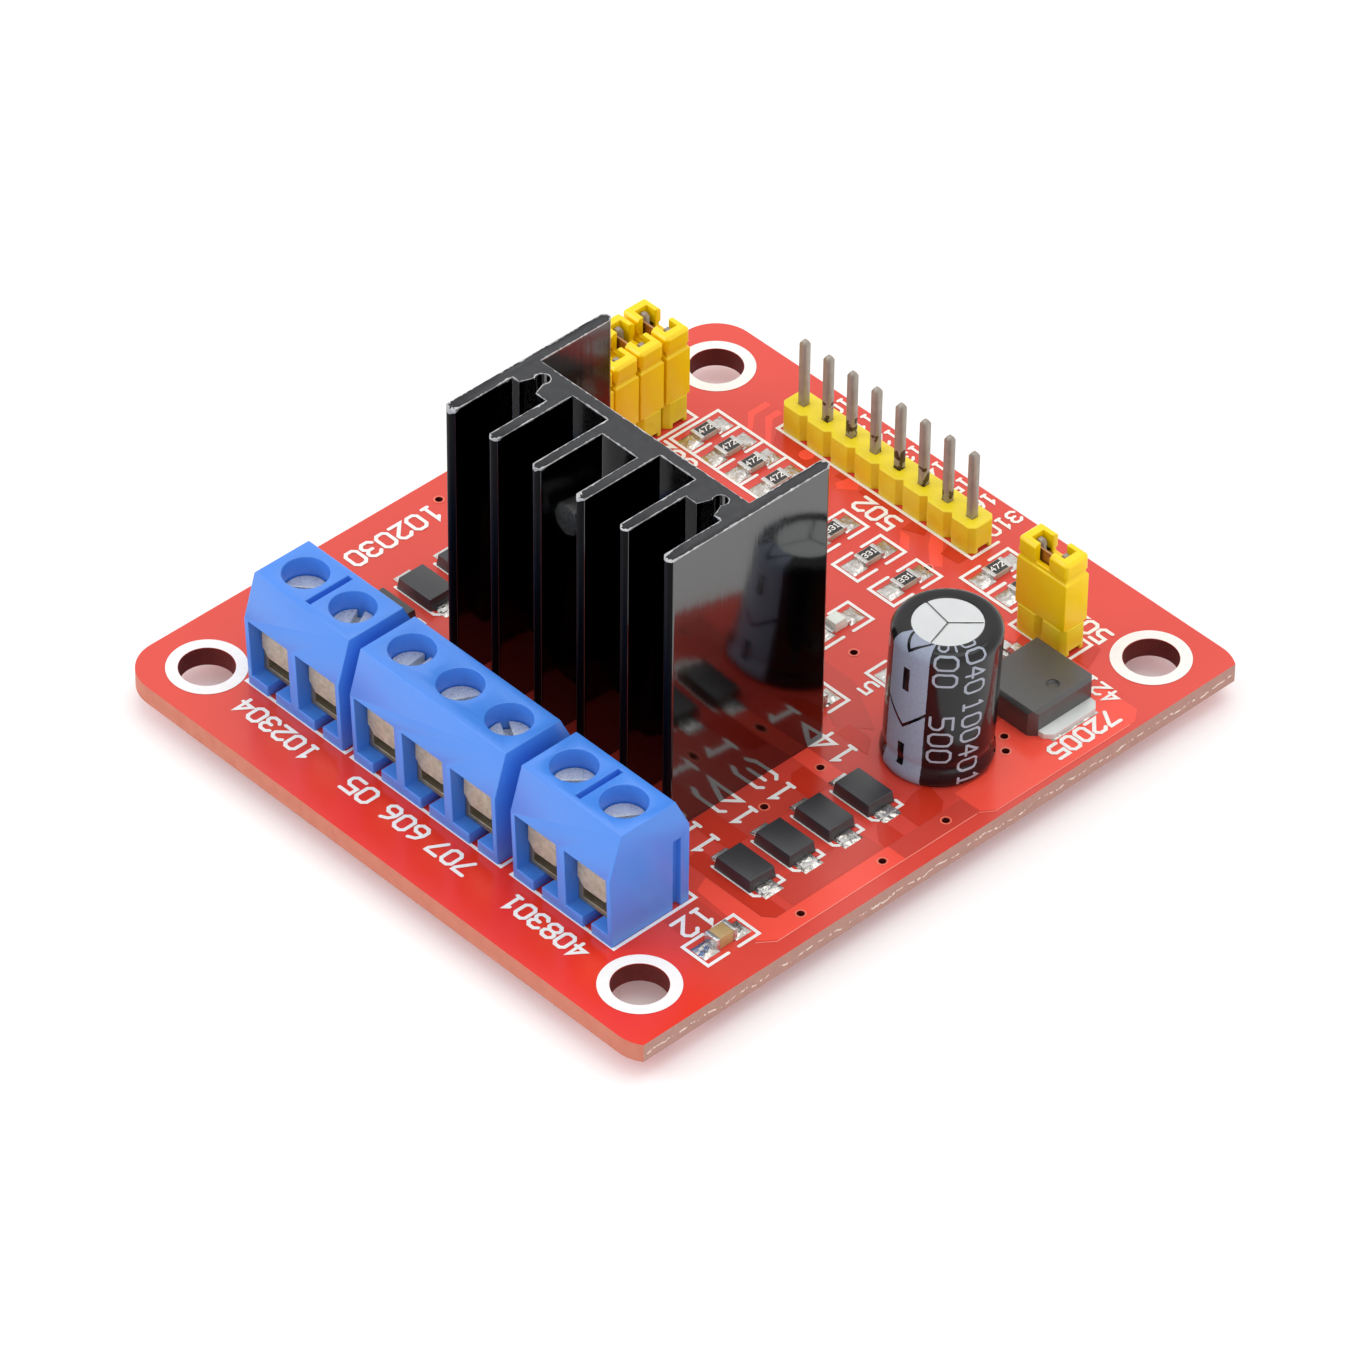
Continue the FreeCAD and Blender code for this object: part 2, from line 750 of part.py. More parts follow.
def terminal_block(label, centre, poles):
    """A moulded housing. Each pole has a wire entry in front, a screw bore above, a
    slot in the floor for its soldered pin, and room for the wire guard to rise."""
    body = new_body(label, (centre, "screw_row_y", TOP))
    half = "%d * pole_pitch / 2" % poles
    side = new_sketch(body, "YZ_Plane", "-" + half)
    draw_polygon(
        side,
        [
            ("block_rear", "0"),
            ("block_rear", "block_shoulder"),
            ("block_rear_top", "block_high"),
            ("-block_front_top", "block_high"),
            ("-block_front_bulge", "block_bulge"),
            ("-block_front", "0"),
        ],
    )
    pad(body, side, "%d * pole_pitch" % poles)
    rear = "(block_rear - rear_wall)"
    front = "(block_front_bulge + cut_over)"
    guard_front = GUARD_FRONT + " - flap_gap"
    upper = "(block_bulge - slot_overlap)"
    for i in range(poles):
        middle = "(%g) * pole_pitch" % (i - (poles - 1) / 2)
        block(
            body,
            "Subtractive",
            (middle + " - entry_wide / 2", "-" + front, "floor_thick"),
            ("entry_wide", front + " + " + rear, "block_bulge - floor_thick"),
        )
        block(
            body,
            "Subtractive",
            (middle + " - pin_slot / 2", "-" + front, "-cut_over"),
            ("pin_slot", front + " + " + rear, "floor_thick + cut_over + slot_overlap"),
        )
        block(
            body,
            "Subtractive",
            (middle + " - flap_wide / 2 - flap_gap", guard_front, upper),
            ("flap_wide + 2 * flap_gap", "flap_thick + 2 * flap_gap", "flap_slot_top - " + upper),
        )
        drum(
            body,
            "Subtractive",
            (middle, "0", upper),
            "bore_radius",
            "block_high + cut_over - " + upper,
        )
    if poles == 2:
        block(
            body,
            "Subtractive",
            ("-top_slot_wide / 2", "-top_slot_long / 2", "block_high - top_slot_deep"),
            ("top_slot_wide", "top_slot_long", "top_slot_deep + cut_over"),
        )
    block(
        body,
        "Subtractive",
        (half + " - end_slot_deep", "end_slot_y", "-cut_over"),
        ("end_slot_deep + cut_over", "end_slot_wide", "end_slot_high + cut_over"),
    )
    block(
        body,
        "Additive",
        ("-%s - end_rib_out" % half, "end_slot_y + end_rib_gap", "0"),
        ("end_rib_out + end_rib_root", "end_slot_wide - 2 * end_rib_gap", "end_slot_high - end_rib_gap"),
    )
    doc.recompute()


def terminal_cages(label, poles):
    """The fixed clamps of one block: a squared metal loop round the wire and the pin
    that is soldered into the board."""
    solids = []
    row = value("screw_row_y")
    low = value(TOP + " + " + CAGE_LOW)
    wall, roof = value("cage_wall"), value("cage_roof")
    wide = value("entry_wide - 2 * cage_gap")
    deep, high = value("cage_front + cage_back"), value("cage_high")
    centre = row + value("cage_back - cage_front") / 2
    thread_radius = value("clamp_thread_radius + thread_gap")
    side_count = int(value("thread_side_count"))
    for x in poles:
        middle = value(x)
        loop = brick(middle, centre, low, wide, deep, high)
        window = brick(middle, centre, low + wall, wide - 2 * wall, 2 * deep, high - wall - roof)
        under, over = low + high - 1.5 * roof, low + high + roof
        tapped = round_hole(middle, row, under, over, thread_radius, side_count)
        pin = brick(middle, row, 0, value("cage_pin_wide"), value("cage_pin_deep"), low + wall / 2)
        solids.append(loop.fuse(pin).cut([window, tapped]).removeSplitter())
    group(label, solids)


def wire_guard(number, x):
    """A sheet metal guard under the screw's tip: a foot inside the loop that presses
    the wire, and a flap with round corners in front of it."""
    body = new_body("wire_guard_%d" % number, (x, "screw_row_y", TOP))
    flap = new_sketch(body, "XZ_Plane", "-(%s)" % GUARD_FRONT)
    half, low, high, cut = "flap_wide / 2", "flap_low", "flap_low + flap_high", "flap_round"
    points = [("-%s + %s" % (half, cut), low), ("%s - %s" % (half, cut), low)]
    points += [(half, "%s + %s" % (low, cut)), (half, high)]
    points += [("-" + half, high), ("-" + half, "%s + %s" % (low, cut))]
    draw_polygon(flap, points)
    pad(body, flap, "flap_thick", reverse=True)
    block(
        body,
        "Additive",
        ("-foot_wide / 2", GUARD_FRONT + " + flap_thick / 2", "flap_low + foot_rise"),
        ("foot_wide", "foot_long + flap_thick / 2", "foot_thick"),
    )
    doc.recompute()


def clamp_screw(number, x, turn):
    """Slotted screw: its thread passes the loop's roof and its tip meets the guard."""
    tip = TOP + " + flap_low + foot_rise + foot_thick"
    name = "clamp_screw_%d" % number
    length = "clamp_head_low - flap_low - foot_rise - foot_thick"
    shank = thread(name + "_shank", "clamp_thread_radius", length)
    place(shank, (x, "screw_row_y", tip))
    head = doc.addObject("Part::Cylinder", name + "_head")
    head.setExpression("Radius", bound("clamp_head_radius"))
    head.setExpression("Height", bound("clamp_head_high"))
    place(head, (x, "screw_row_y", TOP + " + clamp_head_low"))
    blank = doc.addObject("Part::Fuse", name + "_blank")
    blank.Base = head
    blank.Tool = shank
    slot = doc.addObject("Part::Box", name + "_slot")
    slot.setExpression("Length", bound("2 * (clamp_head_radius + cut_over)"))
    slot.setExpression("Width", bound("clamp_slot_wide"))
    slot.setExpression("Height", bound("clamp_slot_deep + cut_over"))
    slot.Placement = Placement(Vector(), Rotation(Vector(0, 0, 1), turn))
    cosine, sine = math.cos(math.radians(turn)), math.sin(math.radians(turn))
    along, across = "(clamp_head_radius + cut_over)", "(clamp_slot_wide / 2)"
    corner_x = "%s - %s * %.6f + %s * %.6f" % (x, along, cosine, across, sine)
    corner_y = "screw_row_y - %s * %.6f - %s * %.6f" % (along, sine, across, cosine)
    place(slot, (corner_x, corner_y, TOP + " + clamp_head_low + clamp_head_high - clamp_slot_deep"))
    screw = doc.addObject("Part::Cut", name)
    screw.Base = blank
    screw.Tool = slot
    node(screw, name)


def strip_outline(count):
    """Plan of a breakaway strip: each pin's block has cut corners, so that a notch
    shows between neighbours."""
    points, rear = [], []
    for i in range(count):
        left = "(%g) * pin_pitch" % (i - count / 2)
        right = "(%g) * pin_pitch" % (i - count / 2 + 1)
        edge, step = "strip_deep / 2", "strip_notch"
        points += [(left, "-(%s - %s)" % (edge, step)), ("%s + %s" % (left, step), "-" + edge)]
        points += [("%s - %s" % (right, step), "-" + edge)]
        rear += [(left, "%s - %s" % (edge, step)), ("%s + %s" % (left, step), edge)]
        rear += [("%s - %s" % (right, step), edge)]
    end = "%g * pin_pitch" % (count / 2)
    points.append((end, "-(%s - %s)" % (edge, step)))
    rear.append((end, "%s - %s" % (edge, step)))
    return points + rear[::-1]


def pin_hole_squares(sketch, count):
    for i in range(count):
        middle = "(%g) * pin_pitch" % (i - (count - 1) / 2)
        draw_polygon(sketch, rectangle(middle, "0", "pin_wide", "pin_wide"))


def header_base():
    body = new_body("header_base", ("header_x", "header_y", TOP))
    outline = new_sketch(body, "XY_Plane")
    draw_polygon(outline, strip_outline(HEADER_COUNT))
    pad(body, outline, "strip_high")
    groove = ("-header_count * pin_pitch / 2 - cut_over", "-strip_groove_wide / 2", "-cut_over")
    long = "header_count * pin_pitch + 2 * cut_over"
    block(body, "Subtractive", groove, (long, "strip_groove_wide", "strip_groove_deep + cut_over"))
    holes = new_sketch(body, "XY_Plane", "strip_high")
    pin_hole_squares(holes, HEADER_COUNT)
    pocket(body, holes, "strip_high")


def jumper_bases():
    """Five two-pin bases, made like the header's."""
    outline = [(value(x), value(y)) for x, y in strip_outline(2)]
    solids = []
    low = value(TOP)
    under = value(TOP + " - cut_over")
    high = value("strip_high")
    groove = (value("4 * pin_pitch"), value("strip_groove_wide"), value("strip_groove_deep + cut_over"))
    pin = (value("pin_wide"), value("pin_wide"), value("strip_high + 2 * cut_over"))
    for x, y in POSTS:
        a, b = value(x), value(y)
        points = [Vector(a + u, b + v, low) for u, v in outline]
        tools = [brick(a, b, under, *groove)]
        for side in (-1, 1):
            tools.append(brick(a + side * value("pin_pitch / 2"), b, under, *pin))
        solids.append(face_of(points).extrude(Vector(0, 0, high)).cut(tools))
    group("jumper_bases", solids)


def square_pin(x, y, low, high):
    """A square wire with a pyramid point at each end."""
    wide, tip, point = value("pin_wide"), value("pin_tip"), value("pin_tip_wide")
    levels = ((low, point), (low + tip, wide), (high - tip, wide), (high, point))
    return stack([square_ring(x, y, level, side, side) for level, side in levels])


def pins():
    high = value(TOP + " + strip_high + pin_rise")
    row = value("header_y")
    group("header_pins", [square_pin(value(x), row, 0.0, high) for x in HEADER_PINS])
    group("jumper_pins", [square_pin(value(x), value(y), 0.0, high) for x, y in JUMPER_PINS])


def jumper_cap(number, x, y):
    """A moulded cap with two open heads over the pins and a notch between them."""
    body = new_body("jumper_cap_%d" % number, (x, y, TOP + " + strip_high"))
    block(body, "Additive", ("-cap_wide / 2", "-cap_deep / 2", "0"), ("cap_wide", "cap_deep", "cap_shoulder"))
    shoulder = value("cap_shoulder")

    def shoulder_rim(a, b):
        return min(a.z, b.z) > shoulder - 1e-4

    dress(body, "Chamfer", shoulder_rim, "cap_neck_in")
    block(
        body,
        "Additive",
        ("-cap_wide / 2 + cap_neck_in", "-cap_deep / 2 + cap_neck_in", "cap_shoulder - cap_overlap"),
        ("cap_wide - 2 * cap_neck_in", "cap_deep - 2 * cap_neck_in", "cap_neck_high + cap_overlap"),
    )
    head_low = "cap_shoulder + cap_neck_high"
    level = "cap_shoulder + cap_neck_high / 2"
    block(
        body,
        "Additive",
        ("-cap_wide / 2", "-cap_deep / 2", head_low),
        ("cap_wide", "cap_deep", "cap_high - (%s)" % head_low),
    )
    low, high = value(head_low), value("cap_high")

    def head_rim(a, b):
        return min(a.z, b.z) > high - 1e-4 or (upright(a, b) and min(a.z, b.z) > low - 1e-4)

    dress(body, "Chamfer", head_rim, "cap_bevel")
    block(
        body,
        "Subtractive",
        ("-head_gap / 2", "-cap_deep / 2 - cut_over", level),
        ("head_gap", "cap_deep + 2 * cut_over", "cap_high"),
    )
    notch = new_sketch(body, "XZ_Plane", "-(cap_deep / 2 + cut_over)")
    points = [("-head_gap / 2", level + " + notch_over"), ("0", level + " - notch_deep")]
    points += [("head_gap / 2", level + " + notch_over")]
    draw_polygon(notch, points)
    pocket(body, notch, "cap_deep + 2 * cut_over")
    inner_wide, inner_deep = "(cap_wide - 2 * cap_side_wall)", "(cap_deep - 2 * cap_face_wall)"
    block(
        body,
        "Subtractive",
        ("-%s / 2" % inner_wide, "-%s / 2" % inner_deep, "-cut_over"),
        (inner_wide, inner_deep, "cap_shoulder - cap_ceiling + cut_over"),
    )
    open_wide, open_deep = "(cap_wide - 2 * head_side_wall)", "(cap_deep - 2 * head_face_wall)"
    block(
        body,
        "Subtractive",
        ("-%s / 2" % open_wide, "-%s / 2" % open_deep, "0"),
        (open_wide, open_deep, "cap_high + cut_over"),
    )
    doc.recompute()


def jumper_clip(number, x, y):
    """The contact in a cap: a plate along one side of both pins, folded round each pin,
    with a narrower bridge that shows between the heads."""
    body = new_body("jumper_clip_%d" % number, (x, y, TOP + " + strip_high"))
    plan = new_sketch(body, "XY_Plane", "clip_low")
    near, far = "(pin_wide / 2 + clip_gap)", "(pin_wide / 2 + clip_gap + clip_thick)"
    out, inside = "clip_half", "clip_half - clip_thick"
    points = [("-" + out, "-" + far), (out, "-" + far), (out, far), ("clip_return", far)]
    points += [("clip_return", near), (inside, near), (inside, "-" + near)]
    points += [("-(%s)" % inside, "-" + near), ("-(%s)" % inside, near), ("-clip_return", near)]
    points += [("-clip_return", far), ("-" + out, far)]
    draw_polygon(plan, points)
    pad(body, plan, "clip_high")
    block(
        body,
        "Additive",
        ("-clip_bridge_half", "-" + far, "clip_low + clip_high - clip_overlap"),
        ("2 * clip_bridge_half", "clip_thick", "clip_bridge_high + clip_overlap"),
    )
    doc.recompute()


def capacitor():
    """A rolled can with a crimped neck over its rubber seal, in a shrunk sleeve that
    leaves a disc of bare metal on top."""
    at = ("can_x", "can_y", TOP)
    neck = ["groove_z - groove_half", "groove_z", "groove_z + groove_half"]
    can = new_body("capacitor_can", at)
    section = new_sketch(can, "XZ_Plane")
    points = [("bung_radius", "0"), ("can_radius", "0"), ("can_radius", neck[0])]
    points += [("can_radius - groove_in", neck[1]), ("can_radius", neck[2])]
    points += [("can_radius", "can_high - can_shoulder"), ("can_radius - can_shoulder", "can_high")]
    points += [("0", "can_high"), ("0", "bung_high"), ("bung_radius", "bung_high")]
    draw_polygon(section, points)
    revolve(can, section)
    sleeve = new_body("capacitor_sleeve", at)
    section = new_sketch(sleeve, "XZ_Plane")
    skin = "sleeve_thick"
    points = [("can_radius", "0"), ("can_radius + " + skin, "0"), ("can_radius + " + skin, neck[0])]
    points += [("can_radius - groove_in + " + skin, neck[1]), ("can_radius + " + skin, neck[2])]
    points += [("can_radius + " + skin, "can_high - can_shoulder + sleeve_slant")]
    points += [("can_radius - can_shoulder + sleeve_slant", "can_high + " + skin)]
    points += [("sleeve_rim", "can_high + " + skin), ("sleeve_rim", "can_high")]
    points += [("can_radius - can_shoulder", "can_high"), ("can_radius", "can_high - can_shoulder")]
    points += [("can_radius", neck[2]), ("can_radius - groove_in", neck[1]), ("can_radius", neck[0])]
    draw_polygon(section, points)
    revolve(sleeve, section)
    bung = new_body("capacitor_bung", at)
    disc = new_sketch(bung, "XY_Plane")
    draw_circle(disc, "0", "0", "bung_radius")
    pad(bung, disc, "bung_high")
    top = value(TOP)
    leads = [round_lead(x, y, 0.0, top) for x, y in CAN_LEADS]
    group("capacitor_leads", leads)


def round_lead(x, y, low, high):
    """A thin round lead of the capacitor as a prism."""
    count = int(value("drill_side_count"))
    rings = [ring_of_corners(value(x), value(y), z, value("can_lead_radius"), count) for z in (low, high)]
    return stack(rings)


def regulator():
    """A flat power package: moulded body, a tab soldered down on one side and two
    bent leads on the other."""
    at = ("reg_x", "reg_y", TOP)
    body = new_body("regulator_body", at)
    foot = new_sketch(body, "XY_Plane")
    draw_polygon(foot, rectangle("0", "0", "reg_long", "reg_wide"))
    pad(body, foot, "reg_high")
    long_side = value("reg_long / 2")
    wide_side = value("reg_wide / 2")

    def top_edge(a, b):
        return min(a.z, b.z) > value("reg_high") - 1e-4

    dress(body, "Chamfer", top_edge, "reg_draft")

    def tab_corner(a, b):
        return upright(a, b) and a.x > long_side - 1e-4 and abs(abs(a.y) - wide_side) < 1e-4

    dress(body, "Chamfer", tab_corner, "reg_step")
    block(
        body,
        "Subtractive",
        ("reg_long / 2 - reg_tab_in", "-reg_tab_wide / 2", "-cut_over"),
        ("reg_tab_in + cut_over", "reg_tab_wide", "reg_tab_thick + cut_over"),
    )
    doc.recompute()
    tab = new_body("regulator_tab", at)
    plan = new_sketch(tab, "XY_Plane")
    inner, outer = "(reg_long / 2 - reg_tab_in)", "(reg_long / 2 + reg_tab_out)"
    half, cut = "reg_tab_wide / 2", "reg_tab_corner"
    points = [(inner, "-" + half), ("%s - %s" % (outer, cut), "-" + half)]
    points += [(outer, "-%s + %s" % (half, cut)), (outer, "%s - %s" % (half, cut))]
    points += [("%s - %s" % (outer, cut), half), (inner, half)]
    draw_polygon(plan, points)
    pad(tab, plan, "reg_tab_thick")
    solids = []
    top = value(TOP)
    thick, wide = value("reg_lead_thick"), value("reg_lead_wide")
    start = value("reg_x - reg_long / 2")
    end = start - value("reg_lead_out")
    high = top + value("reg_lead_high")
    toe = end + value("reg_lead_foot")
    heel, lean = value("reg_lead_heel"), value("reg_lead_lean")
    for side in (-1, 1):
        y = value("reg_y") + side * value("reg_lead_pitch")
        shape = [(start, high), (start, high - thick), (toe + thick, high - thick), (toe, top)]
        shape += [(end, top), (end, top + thick), (toe - heel, top + thick), (toe + lean, high)]
        points = [Vector(a, y - wide / 2, b) for a, b in shape]
        solids.append(face_of(points).extrude(Vector(0, wide, 0)))
    group("regulator_leads", solids)


def diodes():
    """Eight flat diodes, four beside each end of the heatsink."""
    bodies, leads = [], []
    top = value(TOP)
    for column in ("diode_right_x", "diode_left_x"):
        x = value(column)
        for i in range(4):
            y = value("diode_first_y + %d * diode_step" % i)
            long, wide = value("diode_long"), value("diode_wide")
            bodies.append(tapered(x, y, top, long, wide, value("diode_high"), value("diode_draft")))
            for side in (-1, 1):
                reach = side * (long / 2 + value("diode_lead_long") / 2)
                size = (value("diode_lead_long"), value("diode_lead_wide"), value("diode_lead_thick"))
                leads.append(brick(x + reach, y, top, *size))
    group("diode_bodies", bodies)
    group("diode_leads", leads)


def chip_part(x, y, high):
    """Body and two end caps of a chip component that lies along Y."""
    top = value(TOP)
    long, wide, cap = value("chip_part_long"), value("chip_part_wide"), value("end_cap_long")
    skin = value("end_cap_skin")
    body = brick(x, y, top, wide, long - 2 * cap, high)
    size = (wide + 2 * skin, cap, high + skin)
    caps = [brick(x, y + side * (long - cap) / 2, top, *size) for side in (-1, 1)]
    return body, caps


def chip_parts():
    for label, places, high in (
        ("resistor", RESISTORS, value("resistor_high")),
        ("ceramic_capacitor", CERAMICS, value("ceramic_high")),
    ):
        bodies, caps = [], []
        for x, y in places:
            body, ends = chip_part(x, y, high)
            bodies.append(body)
            caps += ends
        group(label + "_bodies", bodies)
        group(label + "_end_caps", caps)


def indicator_lamp():
    """A chip lamp: a moulded lens on a base with two plated ends."""
    top = value(TOP)
    x, y = value("lamp_x"), value("lamp_y")
    long, wide, cap = value("chip_part_long"), value("chip_part_wide"), value("end_cap_long")
    base_high = value("lamp_base_high")
    base = brick(x, y, top, wide, long - 2 * cap, base_high)
    lens_size = (wide, long - 2 * cap, value("lamp_lens_high"), value("lamp_draft"))
    lens = tapered(x, y, top + base_high, *lens_size)
    group("indicator_lamp", [base.fuse(lens).removeSplitter()])
    ends = [brick(x, y + side * (long - cap) / 2, top, wide, cap, base_high) for side in (-1, 1)]
    group("indicator_lamp_ends", ends)


def solder_joints():
    """A cone of solder round each lead, under the board."""
    low, high = value("lead_stub"), value("lead_drop")
    foot, tip = value("solder_foot"), value("solder_tip")
    row = value("screw_row_y")
    leads = []
    pin = value("pin_wide")
    cage = (value("cage_pin_wide"), value("cage_pin_deep"))
    leads += [(value(x), row, cage) for x in POLES]
    leads += [(value(x), value("header_y"), (pin, pin)) for x in HEADER_PINS]
    leads += [(value(x), value(y), (pin, pin)) for x, y in JUMPER_PINS]
    chip = (value("chip_lead_wide"), value("chip_lead_thick"))
    leads += [(value(x), value(y), chip) for x, y in CHIP_LEADS]
    under, over = value("lead_stub - cut_over"), value(TOP)
    count = int(value("drill_side_count"))
    solids = []
    for x, y, (wide, deep) in leads:
        cone = stack([ring_of_corners(x, y, low, tip, count), ring_of_corners(x, y, high, foot, count)])
        solids.append(cone.cut(brick(x, y, under, wide, deep, over - under)))
    for x, y in CAN_LEADS:
        a, b = value(x), value(y)
        cone = stack([ring_of_corners(a, b, low, tip, count), ring_of_corners(a, b, high, foot, count)])
        solids.append(cone.cut(round_lead(x, y, under, over)))
    group("solder_joints", solids)


circuit_board()
heatsink()
driver_chip()
chip_screw()
labels = ("left_terminal", "middle_terminal", "right_terminal")
first = 0
for label, (centre, poles) in zip(labels, BLOCKS):
    terminal_block(label + "_housing", centre, poles)
    terminal_cages(label + "_cages", POLES[first : first + poles])
    first += poles
for i, x in enumerate(POLES):
    wire_guard(i + 1, x)
    clamp_screw(i + 1, x, SCREW_TURNS[i])
header_base()
jumper_bases()
pins()
for i, (x, y) in enumerate(POSTS):
    jumper_cap(i + 1, x, y)
    jumper_clip(i + 1, x, y)
capacitor()
regulator()
diodes()
chip_parts()
indicator_lamp()
solder_joints()
doc.recompute()

failed = [thing.Name for thing in doc.Objects if "Invalid" in thing.State or "Error" in thing.State]
if failed:
    raise RuntimeError("these objects failed: %s" % ", ".join(failed))
for thing in NODES:
    if thing.Shape.isNull() or not thing.Shape.isValid() or not thing.Shape.Solids:
        raise RuntimeError(thing.Label + " has no valid shape")
os.makedirs("parts", exist_ok=True)
for thing in NODES:
    thing.Shape.exportStep("parts/%s.step" % thing.Label)
    size = thing.Shape.BoundBox
    print("%-28s %2d solids %8.2f mm3  %s" % (thing.Label, len(thing.Shape.Solids), thing.Shape.Volume, size))
print(len(NODES), "sub-parts")
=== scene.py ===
# %% [markdown]
# # A motor driver module, dressed for its picture
# The solids of the module come ready made and fixed. This lesson gives them the looks
# of the real thing: lacquer, printing, solder, moulded plastic and worn black metal.
# Every length below is written in millimetres and turned into metres by one factor.

# %% Load the fixed frame
import math
import bmesh
import bpy
import numpy as np
from mathutils import Matrix, Vector
from mathutils.geometry import tessellate_polygon


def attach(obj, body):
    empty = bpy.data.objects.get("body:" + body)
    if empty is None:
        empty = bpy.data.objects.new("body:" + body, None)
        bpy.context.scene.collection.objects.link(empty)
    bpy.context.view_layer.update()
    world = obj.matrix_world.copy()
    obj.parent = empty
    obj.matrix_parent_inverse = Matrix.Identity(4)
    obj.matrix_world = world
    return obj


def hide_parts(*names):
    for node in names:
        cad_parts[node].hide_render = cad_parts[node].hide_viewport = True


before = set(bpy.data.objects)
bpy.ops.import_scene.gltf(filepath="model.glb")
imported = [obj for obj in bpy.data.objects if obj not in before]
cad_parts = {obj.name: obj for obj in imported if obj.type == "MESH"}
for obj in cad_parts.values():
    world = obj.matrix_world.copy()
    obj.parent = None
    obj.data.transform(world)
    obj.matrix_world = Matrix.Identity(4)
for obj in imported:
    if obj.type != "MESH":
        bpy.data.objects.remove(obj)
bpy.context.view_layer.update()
MM = 0.001
BOARD_TOP = 3.4

# %% [markdown]
# ## The camera
# The picture was taken from high above the terminal corner with a long lens. Its place
# is given by two angles round the board, a small roll and a distance. The three rows of
# a rotation are the directions to the right, up and back along the lens.

# %% Camera
AZIMUTH, ELEVATION, ROLL = math.radians(46.223), math.radians(41.106), math.radians(0.619)
FOCAL_PIXELS, IMAGE_PIXELS, SENSOR = 8471.8, 1360.0, 36.0
SHIFT_RIGHT, SHIFT_UP, DISTANCE = 0.024, -1.27, 612.955


def camera_axes():
    """Right, up and back: back looks from the board to the lens, right lies level, up is
    back times right, and then both are rolled round back."""
    back = Vector(
        (
            math.sin(AZIMUTH) * math.cos(ELEVATION),
            -math.cos(AZIMUTH) * math.cos(ELEVATION),
            math.sin(ELEVATION),
        )
    )
    right = Vector((math.cos(AZIMUTH), math.sin(AZIMUTH), 0.0))
    up = back.cross(right)
    turned_right = right * math.cos(ROLL) + up * math.sin(ROLL)
    turned_up = up * math.cos(ROLL) - right * math.sin(ROLL)
    return turned_right, turned_up, back


right, up, back = camera_axes()
eye = right * SHIFT_RIGHT + up * SHIFT_UP + back * DISTANCE + Vector((0, 0, BOARD_TOP))
camera_data = bpy.data.cameras.new("camera")
camera_data.sensor_width = SENSOR
camera_data.lens = FOCAL_PIXELS / IMAGE_PIXELS * SENSOR
camera_data.clip_start = 0.05
camera = bpy.data.objects.new("camera", camera_data)
camera.matrix_world = Matrix(
    (
        (right.x, up.x, back.x, eye.x * MM),
        (right.y, up.y, back.y, eye.y * MM),
        (right.z, up.z, back.z, eye.z * MM),
        (0, 0, 0, 1),
    )
)
bpy.context.scene.collection.objects.link(camera)
scene = bpy.context.scene
scene.camera = camera
scene.view_settings.view_transform = "Standard"
print("lens", round(camera_data.lens, 1), "mm, eye at", [round(c, 1) for c in eye])

# %% [markdown]
# ## Small tools
# Colours are written as they look on a screen, from 0 to 255, and turned into the linear
# light that shaders use. A piece is an object whose corners already stand in their
# place, so the object itself stays at the origin.

# %% Colours and pieces
def colour(r, g, b):
    """Screen colour to linear light: divide by 255, then raise to the power 2.2."""
    return ((r / 255) ** 2.2, (g / 255) ** 2.2, (b / 255) ** 2.2, 1.0)


def piece(name, points, faces, material, body="module", smooth=False):
    """A mesh object from an array of points in millimetres and a list of faces."""
    mesh = bpy.data.meshes.new(name)
    mesh.from_pydata((np.asarray(points) * MM).tolist(), [], [list(map(int, f)) for f in faces])
    mesh.update()
    if smooth:
        mesh.shade_smooth()
    thing = bpy.data.objects.new(name, mesh)
    scene.collection.objects.link(thing)
    thing.data.materials.append(material)
    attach(thing, body)
    return thing


print("white is", colour(255, 255, 255)[0], "and mid grey is", round(colour(128, 128, 128)[0], 3))

# %% [markdown]
# ## Grids and piles
# A curved surface is a grid of points stored row after row, and its faces join each
# point to its neighbours. Printing and solder are many small shapes, so they are heaped
# into one pile first and become one piece at the end.

# %% Grids and piles
def grid_faces(rows, columns, wrap=False):
    """Four-sided faces of a grid of points that are stored row after row. With wrap the
    last column joins the first."""
    last = columns if wrap else columns - 1
    i, j = np.meshgrid(np.arange(rows - 1), np.arange(last), indexing="ij")
    a = i * columns + j
    b = i * columns + (j + 1) % columns
    faces = np.stack([a, b, b + columns, a + columns], axis=-1)
    return faces.reshape(-1, 4)


def unit_circle(count):
    """Cosine and sine of count equal turns, one row each."""
    turn = np.linspace(0, 2 * math.pi, count, endpoint=False)
    return np.stack([np.cos(turn), np.sin(turn)], axis=1)


class Pile:
    """Collects the points and faces of many small shapes that make one piece."""

    def __init__(self):
        self.points, self.faces, self.count = [], [], 0

    def add(self, points, faces):
        """Adds points in millimetres and faces that count from this shape's own first point."""
        points = np.asarray(points, float).reshape(-1, 3)
        self.points.append(points)
        self.faces += [tuple(int(k) + self.count for k in face) for face in faces]
        self.count += len(points)

    def finish(self, name, material, slot, body="module", smooth=False):
        """Makes one piece of everything in the pile."""
        return piece(name, np.concatenate(self.points), self.faces, material, body, smooth)


print("a grid of 3 by 4 points has", len(grid_faces(3, 4)), "faces")

# %% [markdown]
# ## Shared effects
# Most surfaces here need the same few things: a fine grain that scatters highlights, a
# tint that wanders a little over the surface, and long marks left by a die. Each of
# them is a node group with named inputs, placed in many materials with other values.

